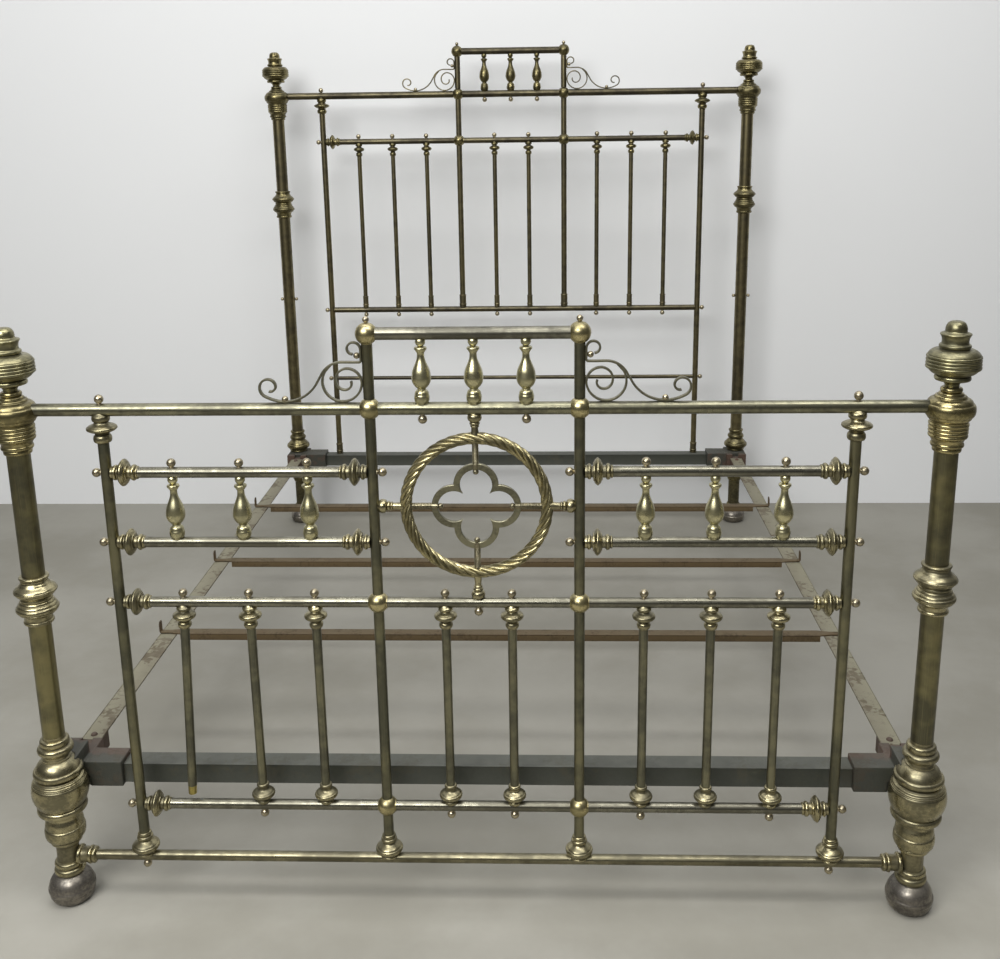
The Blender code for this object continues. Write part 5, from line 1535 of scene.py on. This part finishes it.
@dataclass
class HeadEnd(EndPanel):
    """The head end: top rail and crest, the long bars, the end bars and the thin lower rail."""

    bar_r: float = 7.0
    thin_r: float = 6.5
    ball_scale: float = 0.86
    rail_end: float = 8.0

    def make(self) -> None:
        """Makes every piece of the head end."""
        self.top_rail()
        self.crest(
            End.HEAD, self.layout.head_crest_z, self.layout.head_top_z, self.layout.head_y, HEAD_RAIL,
            HEAD_TUBE
        )
        for side in Side:
            self.end_bar(side)
            self.uprights(side)
            self.scroll(End.HEAD, side, self.layout.head_top_z, self.layout.head_y)
        self.upper_rail()
        self.thin_rail()
        self.grille()

    def top_rail(self) -> None:
        """Makes the top rail between the crowns."""
        y, z = self.layout.head_y, self.layout.head_top_z
        piece = Piece("brass_head_top_rail")
        reach = self.layout.post_x - self.crown_cover * MM
        self.tube(piece, -reach, reach, self.top_r * MM, y, z, HEAD_RAIL)
        self.add_joint_balls(piece, y, z, HEAD_CAST)
        for side in Side:
            piece.knob((side.value * self.layout.end_bar_x, y, z), Axis.UP, self.top_r * MM)
        for x in (-self.layout.crest_pitch, 0.0, self.layout.crest_pitch):
            piece.knob((x, y, z), Axis.DOWN, self.top_r * MM)
        piece.build(Slot.BRASS, "head_top_rail")

    def upper_rail(self) -> None:
        """Makes the collared rail that the long bars hang from."""
        y, z = self.layout.head_y, self.layout.head_upper_z
        piece = Piece("brass_head_upper_rail")
        self.collared_rail(piece, -self.layout.end_bar_x, self.layout.end_bar_x, y, z, HEAD_RAIL)
        self.add_joint_balls(piece, y, z, HEAD_CAST)
        for x in self.layout.head_bars:
            piece.knob((x, y, z), Axis.UP, MOULDINGS.tube_r * MM)
        piece.build(Slot.BRASS, "head_upper_rail")

    def thin_rail(self) -> None:
        """Makes the thin plain rail low down."""
        piece = Piece("brass_head_thin_rail")
        reach = self.layout.end_bar_x - self.rail_end * MM
        self.tube(
            piece, -reach, reach, self.thin_r * MM, self.layout.head_y, self.layout.head_thin_z, HEAD_RAIL
        )
        piece.build(Slot.BRASS, "head_thin_rail")

    def grille(self) -> None:
        """Makes the lower rail with the eight long bars."""
        y, top, low = self.layout.head_y, self.layout.head_upper_z, self.layout.head_lower_z
        piece = Piece("brass_head_grille")
        reach = self.layout.end_bar_x - self.rail_end * MM
        self.tube(piece, -reach, reach, MOULDINGS.tube_r * MM, y, low, HEAD_RAIL)
        mount = Outline(0.0, 0.0)
        mount.points = [(r * self.ball_scale, h) for r, h in MOULDINGS.baluster_head().points]
        sleeve = outline_mm(self.bar_r, 47.0).line(8.6, 46.4).bead(8.8, 43.4, 0.8, 4).line(8.8, 20.0)
        sleeve.bead(8.8, 15.0, 1.2, 5).line(9.4, 8.0)
        for x in self.layout.head_bars:
            piece.lathe(in_metres(mount, top), HEAD_CAST, (x, y, 0.0), steps=28)
            self.upright_tube(
                piece, x, y, low + 0.046, top - MOULDINGS.head_drop * MM, self.bar_r * MM, HEAD_TUBE
            )
            piece.lathe(in_metres(sleeve, low), HEAD_TUBE, (x, y, 0.0), steps=28)
            piece.knob((x, y, low), Axis.DOWN, MOULDINGS.tube_r * MM)
        piece.build(Slot.BRASS, "head_grille")

    def uprights(self, side: Side) -> None:
        """Makes one centre upright, in its two lengths."""
        x, y = side.value * self.layout.upright_x, self.layout.head_y
        seat = self.ball_seat * MM
        upper = Piece(f"brass_head_upper_upright_{side.word}")
        top, middle, low = self.layout.head_top_z, self.layout.head_upper_z, self.layout.head_lower_z
        self.upright_tube(upper, x, y, middle + seat, top - seat, self.upright_r * MM, HEAD_TUBE)
        upper.build(Slot.BRASS, f"head_upper_upright_{side.word}")
        lower = Piece(f"brass_head_lower_upright_{side.word}")
        self.upright_tube(lower, x, y, low + 0.048, middle - seat, self.upright_r * MM, HEAD_TUBE)
        sleeve = outline_mm(9.0, 50.0).line(10.8, 49.4).bead(11.0, 46.0, 0.8, 4).line(11.0, 20.0)
        sleeve.bead(11.0, 14.0, 1.2, 5).line(11.4, 8.5)
        lower.lathe(in_metres(sleeve, low), HEAD_TUBE, (x, y, 0.0), steps=28)
        lower.build(Slot.BRASS, f"head_lower_upright_{side.word}")

    def end_bar(self, side: Side) -> None:
        """Makes an end bar, which stands on the iron cross bar."""
        name = f"head_end_bar_{side.word}"
        piece = Piece("brass_" + name)
        x, y = side.value * self.layout.end_bar_x, self.layout.head_y
        top = self.layout.head_top_z
        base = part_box(name)[0].z
        piece.lathe(in_metres(MOULDINGS.end_bar_head(), top), HEAD_CAST, (x, y, 0.0))
        self.upright_tube(
            piece, x, y, base + 0.034, top - MOULDINGS.end_head_drop * MM, self.end_bar_r * MM, HEAD_TUBE
        )
        sleeve = outline_mm(9.2, 36.0).line(10.6, 35.2).bead(10.8, 31.0, 1.0, 5).line(10.8, 12.0)
        sleeve.bead(10.8, 7.0, 1.0, 5).line(11.4, 0.0).line(0.0, 0.0)
        piece.lathe(in_metres(sleeve, base), HEAD_TUBE, (x, y, 0.0), steps=32)
        for z in (self.layout.head_upper_z, self.layout.head_lower_z, self.layout.head_thin_z):
            piece.knob((x, y, z), side.outward, self.end_bar_r * MM)
        piece.build(Slot.BRASS, name)


# Iron base


def angle_section(width: float, drop: float, wall: float, fillet: float = 0.003) -> list[Point]:
    """Returns an angle iron's section: a flange of a width and a web that drops from its outer edge at 0.

    Args:
        width: How far the flange reaches from the web's outer face.
        drop: How far the web hangs down from the flange's top.
        wall: The thickness of both.
        fillet: The radius inside the corner.
    """
    corner = arc(wall + fillet, -wall - fillet, fillet, fillet, 90, 180, 30)
    points = [(0.0, -drop + 0.0006), (0.0006, -drop), (wall - 0.0015, -drop), (wall, -drop + 0.0015)]
    points += list(reversed(corner))
    points += [(width - 0.0015, -wall), (width, -wall + 0.0015), (width, -0.0006), (width - 0.0006, 0.0)]
    points += list(reversed(arc(0.0012, -0.0012, 0.0012, 0.0012, 90, 180, 30)))
    return points


@dataclass
class IronBase:
    """The angle-iron base: two cross bars, two side rails with their shoes, and three laths."""

    layout: Layout
    wall: float = 0.005
    rail_top: float = 0.250
    rail_width: float = 0.038
    rail_inset: float = 0.0305
    rivet_inset: float = 0.0463
    stud_distance: float = 1.4023
    shoe_inset: float = 0.0197
    shoe_length: float = 0.050
    shoe_half: float = 0.0175
    shoe_voxel: float = 0.0014
    lath_wall: float = 0.003
    lath_base: float = 0.2503
    lath_width: float = 0.026
    lath_hook: float = 0.0145
    lath_bend: float = 0.004
    lath_taper: float = 0.006
    flat_reach: float = 0.72
    web_reach: float = 0.722
    web_height: float = 0.0155

    def make(self) -> None:
        """Makes every iron piece."""
        self.cross_bar("foot_cross_bar")
        self.cross_bar("head_cross_bar")
        for side in Side:
            self.side_rail(side)
        laths = (
            ("lath_foot", Body.FOOT_LATH), ("lath_middle", Body.MIDDLE_LATH), ("lath_head", Body.HEAD_LATH)
        )
        for name, body in laths:
            self.lath(name, body)
        for end in End:
            for side in Side:
                CornerBlock(self.layout, end, side).make()

    def cross_bar(self, node: str) -> None:
        """Makes a cross bar, its web on the side towards the foot."""
        low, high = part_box(node)
        piece = Piece("iron_" + node)
        section = angle_section(high.y - low.y, high.z - low.z, self.wall)
        y = low.y
        start, end = Vector((low.x, y, high.z)), Vector((high.x, y, high.z))
        piece.bar(section, start, end, DARK_IRON, Vector((0.0, 1.0, 0.0)), Vector((0.0, 0.0, 1.0)))
        piece.build(Slot.PAINTED_IRON, node)

    def side_rail(self, side: Side) -> None:
        """Makes a side rail: its angle iron, the cast shoes at its ends and their rivets."""
        node = f"side_rail_{side.word}"
        body = Body.LEFT_RAIL if side is Side.LEFT else Body.RIGHT_RAIL
        low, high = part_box(node)
        piece = Piece("iron_" + node, body)
        outer = low.x if side is Side.LEFT else high.x
        top = self.rail_top
        start, end = low.y + self.rail_inset, high.y - self.rail_inset
        section = angle_section(self.rail_width, self.rail_width, self.wall)
        into = Vector((-float(side.value), 0.0, 0.0))
        piece.bar(
            section, Vector((outer, start, top)), Vector((outer, end, top)), RAIL_PAINT, into,
            Vector((0.0, 0.0, 1.0))
        )
        for at in (low.y + self.rivet_inset, high.y - self.rivet_inset):
            cap = outline_mm(0.0, 3.6).swell(5.6, 1.4, 1.2, 6).line(6.4, 0.0).line(6.4, -1.5)
            piece.lathe(
                in_metres(cap), RUST_CASTING, (outer + into.x * self.rail_width / 2, at, top), Axis.UP, 20
            )
        if side is Side.RIGHT:
            stud = outline_mm(0.0, 5.0).swell(4.6, 3.0, 0.8, 5).line(4.6, -1.0)
            y = low.y + self.stud_distance
            piece.lathe(in_metres(stud), RUST_CASTING, (outer, y, top - 0.010), Axis.RIGHT, 16)
        piece.build(Slot.WORN_RAIL, node)
        self.shoes(side, body)

    def shoes(self, side: Side, body: Body) -> None:
        """Makes the two cast shoes with their dovetail tongues at a rail's ends."""
        low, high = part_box(f"side_rail_{side.word}")
        middle = (low.x + high.x) / 2
        for label, face, step in (
            ("foot", low.y + self.shoe_inset, 1.0), ("head", high.y - self.shoe_inset, -1.0)
        ):
            piece = Piece(f"iron_rail_shoe_{side.word}_{label}", body)
            near, far = sorted((face, face + step * self.shoe_length))
            lowest = (middle - self.shoe_half, near, low.z)
            piece.block(lowest, (middle + self.shoe_half, far, self.rail_top - 0.0015), RUST_CASTING)
            tongue = [(-0.0085, 0.004), (0.0085, 0.004), (0.0085, 0.0)]
            tongue += [(0.0136, -0.0193), (-0.0136, -0.0193), (-0.0085, 0.0)]
            corners = [(middle + x, face + step * y) for x, y in tongue]
            rings = [[Vector((x, y, z)) for x, y in corners] for z in (0.2225, 0.2480)]
            if step > 0:
                rings = [list(reversed(ring)) for ring in rings]
            piece.sweep(rings, RUST_CASTING)
            made = piece.build(Slot.WORN_RAIL)
            worked = made.modifiers.new("one casting", "REMESH")
            worked.mode = "VOXEL"
            worked.voxel_size = self.shoe_voxel
            worked.use_smooth_shade = True
            soften(made, 3)

    def lath(self, node: str, body: Body) -> None:
        """Makes a lath: a flat bar with its ends turned up as hooks, and a thin web along its front edge."""
        low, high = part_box(node)
        piece = Piece("iron_" + node, body)
        y = (low.y + high.y) / 2
        wall, bend, flat = self.lath_wall, self.lath_bend, self.flat_reach
        base, top = self.lath_base, high.z
        reach = high.x - wall / 2
        right = [(reach - bend - 0.02, base + wall / 2)]
        right += arc(reach - bend, base + wall / 2 + bend, bend, bend, -90, 0, 15)
        right += [(reach, top - self.lath_taper), (reach - 0.0006, top)]
        path = [(-x, z) for x, z in reversed(right)] + [
            (-flat, base + wall / 2), (flat, base + wall / 2)
        ] + right

        def width(point: Point) -> float:
            """Returns the bar's width, which narrows towards the hooks and rounds off at their tips."""
            if abs(point[0]) < flat + 0.0005:
                return self.lath_width
            tip = max(0.0, (point[1] - (top - self.lath_taper)) / self.lath_taper)
            return self.lath_hook - self.lath_taper * min(tip, 1.0)

        piece.strip(path, wall, width, LATH_IRON, (0.0, y, 0.0))
        front = y - self.lath_width / 2 + 0.0003
        section = rounded_box(wall, self.web_height, 0.0007, 2)
        start, end = [Vector((x, front + wall / 2, base - 0.0052)) for x in (-self.web_reach, self.web_reach)]
        piece.bar(section, start, end, LATH_IRON, Vector((0.0, 1.0, 0.0)), Vector((0.0, 0.0, 1.0)))
        piece.build(Slot.LATH_IRON, node)


def soften(piece: bpy.types.Object, repeat: int) -> None:
    """Smooths a worked casting a little, as a sand mould leaves it."""
    smooth = piece.modifiers.new("cast edges", "SMOOTH")
    smooth.factor = 0.5
    smooth.iterations = repeat


@dataclass
class CornerBlock:
    """The casting that ties a post, a cross bar and a side rail together."""

    layout: Layout
    end: End
    side: Side
    voxel: float = 0.0013

    def finish(self) -> IronFinish:
        """Returns paint that gives way to rust towards the side rail."""
        inward = 1.0 if self.end is End.FOOT else -1.0
        post_y = self.layout.foot_y if self.end is End.FOOT else self.layout.head_y
        start = post_y + inward * (0.050 if self.end is End.FOOT else 0.044)
        return replace(
            BLOCK_PAINT, name=f"{self.end.value} painted casting", rust_span=(start, start + inward * 0.012)
        )

    def make(self) -> None:
        """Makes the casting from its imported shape, rounded and roughened as cast iron."""
        node = f"{self.end.value}_corner_block_{self.side.word}"
        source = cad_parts[node]
        mesh = source.data.copy()
        mesh.name = "iron_" + node
        mesh.materials.clear()
        mesh.materials.append(self.finish().material())
        piece = bpy.data.objects.new("iron_" + node, mesh)
        bpy.context.scene.collection.objects.link(piece)
        remesh = piece.modifiers.new("one casting", "REMESH")
        remesh.mode = "VOXEL"
        remesh.voxel_size = self.voxel
        remesh.use_smooth_shade = True
        soften(piece, 6)
        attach(piece, Body.ENDS.value)
        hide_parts(node)
        LOG.info("%s: worked from its node", piece.name)


# The room


@dataclass(frozen=True)
class Studio:
    """The pale floor and wall, the soft lights and the camera."""

    layout: Layout
    camera_place: Place = (0.1238, -1.7048, 1.3850)
    yaw: float = math.radians(-2.108)
    pitch: float = math.radians(-13.730)
    roll: float = math.radians(-0.791)
    lens: float = 39.31
    shift: Point = (-0.01163, -0.09566)
    wall_gap: float = 0.17

    def camera(self) -> None:
        """Places the camera."""
        forward = Vector(
            (
                math.sin(self.yaw) * math.cos(self.pitch),
                math.cos(self.yaw) * math.cos(self.pitch),
                math.sin(self.pitch),
            )
        )
        right = Vector((math.cos(self.yaw), -math.sin(self.yaw), 0.0))
        up = right.cross(forward)
        level_right = right * math.cos(self.roll) + up * math.sin(self.roll)
        level_up = up * math.cos(self.roll) - right * math.sin(self.roll)
        turn = Matrix((level_right, level_up, -forward)).transposed()
        data = bpy.data.cameras.new("camera")
        data.lens = self.lens
        data.sensor_width = 36.0
        data.shift_x, data.shift_y = self.shift
        data.clip_start, data.clip_end = 0.05, 60.0
        camera = bpy.data.objects.new("camera", data)
        place = Vector(self.camera_place) + Vector((0.0, self.layout.foot_y, 0.0))
        camera.matrix_world = Matrix.Translation(place) @ turn.to_4x4()
        bpy.context.scene.collection.objects.link(camera)
        bpy.context.scene.camera = camera

    def plane(self, name: str, corners: Sequence[Place], material: bpy.types.Material) -> None:
        """Makes a flat piece of the room."""
        mesh = bpy.data.meshes.new(name)
        mesh.from_pydata(corners, [], [tuple(range(len(corners)))])
        mesh.materials.append(material)
        plane = bpy.data.objects.new(name, mesh)
        bpy.context.scene.collection.objects.link(plane)

    def floor_material(self) -> bpy.types.Material:
        """Returns the pale floor's material."""
        material = bpy.data.materials.new("pale floor")
        material.use_nodes = True
        graph = Graph(material.node_tree)
        shader = material.node_tree.nodes["Principled BSDF"]
        place = graph.add("TexCoord").outputs["Object"]
        cloud = graph.add("TexNoise", {"Vector": place, "Scale": 1.6, "Detail": 6.0, "Roughness": 0.6})
        share = graph.spread(cloud.outputs["Fac"], 0.35, 0.65, 0.0, 1.0)
        # Painted light and shade: the floor is lighter in front of the bed and darker beneath it, where the
        # bed's shadow falls.
        near = graph.mix((0.37, 0.355, 0.305), (0.47, 0.455, 0.405), share)
        far = graph.mix((0.25, 0.24, 0.205), (0.31, 0.30, 0.265), share)
        depth = graph.add("SeparateXYZ", {0: place}).outputs["Y"]
        colour = graph.mix(near, far, graph.spread(depth, -1.35, -0.55, 0.0, 1.0))
        graph.feed(shader.inputs["Base Color"], colour)
        shader.inputs["Roughness"].default_value = 0.7
        shader.inputs["Specular IOR Level"].default_value = 0.25
        return material

    def wall_material(self) -> bpy.types.Material:
        """Returns the wall's material, which shows only from the room's side."""
        material = bpy.data.materials.new("pale wall")
        material.use_nodes = True
        graph = Graph(material.node_tree)
        shader = material.node_tree.nodes["Principled BSDF"]
        shader.inputs["Base Color"].default_value = (0.84, 0.85, 0.86, 1.0)
        shader.inputs["Roughness"].default_value = 0.9
        output = material.node_tree.nodes["Material Output"]
        clear = graph.add("BsdfTransparent")
        behind = graph.add("NewGeometry").outputs["Backfacing"]
        mixed = graph.add("MixShader", {0: behind, 1: shader.outputs[0], 2: clear.outputs[0]})
        graph.feed(output.inputs["Surface"], mixed.outputs[0])
        return material

    def light(
        self, name: str, place: Place, target: Place, size: Point, power: float, colour: Colour
    ) -> None:
        """Hangs a soft rectangular light."""
        data = bpy.data.lights.new(name, "AREA")
        data.shape = "RECTANGLE"
        data.size, data.size_y = size
        data.energy = power
        data.color = colour
        lamp = bpy.data.objects.new(name, data)
        lamp.location = place
        lamp.rotation_mode = "QUATERNION"
        lamp.rotation_quaternion = (Vector(target) - Vector(place)).to_track_quat("-Z", "Y")
        bpy.context.scene.collection.objects.link(lamp)

    def world(self) -> None:
        """Sets a soft, even sky, darker towards the horizon."""
        world = bpy.data.worlds.new("soft sky")
        world.use_nodes = True
        graph = Graph(world.node_tree)
        back = world.node_tree.nodes["Background"]
        height = graph.add("SeparateXYZ", {0: graph.add("TexCoord").outputs["Generated"]}).outputs["Z"]
        share = graph.spread(height, -0.1, 0.9, 0.0, 1.0)
        graph.feed(back.inputs["Color"], graph.mix((0.30, 0.30, 0.295), (0.60, 0.61, 0.62), share))
        back.inputs["Strength"].default_value = 0.26
        bpy.context.scene.world = world

    def make(self) -> None:
        """Builds the room, its lights and the camera."""
        bpy.context.scene.view_settings.view_transform = "Standard"
        reach = 9.0
        wall_y = self.layout.head_y + self.wall_gap
        floor = [(-reach, -reach, 0.0), (reach, -reach, 0.0), (reach, reach, 0.0), (-reach, reach, 0.0)]
        self.plane("floor", floor, self.floor_material())
        wall = [(-reach, wall_y, 0.0), (reach, wall_y, 0.0), (reach, wall_y, 4.5), (-reach, wall_y, 4.5)]
        self.plane("wall", wall, self.wall_material())
        self.light("key", (-1.3, -3.5, 3.0), (0.0, 0.5, 0.7), (2.6, 1.3), 112.0, (1.0, 1.0, 0.99))
        self.light("ceiling", (0.2, -1.7, 3.2), (0.0, -0.9, 0.0), (3.4, 0.9), 50.0, (1.0, 0.99, 0.97))
        self.light("wall wash", (0.0, -0.2, 4.2), (0.0, 1.14, 1.5), (4.6, 0.7), 52.0, (1.0, 1.0, 1.0))
        self.world()
        self.camera()


def main() -> None:
    """Builds the bed's looks in order."""
    logging.basicConfig(level=logging.INFO, format="%(name)s %(message)s")
    layout = Layout.from_frame()
    Studio(layout).make()
    for end in End:
        for side in Side:
            Post(layout, end, side).make()
    FootEnd(layout).make()
    HeadEnd(layout).make()
    IronBase(layout).make()


if __name__ == "__main__":
    main()
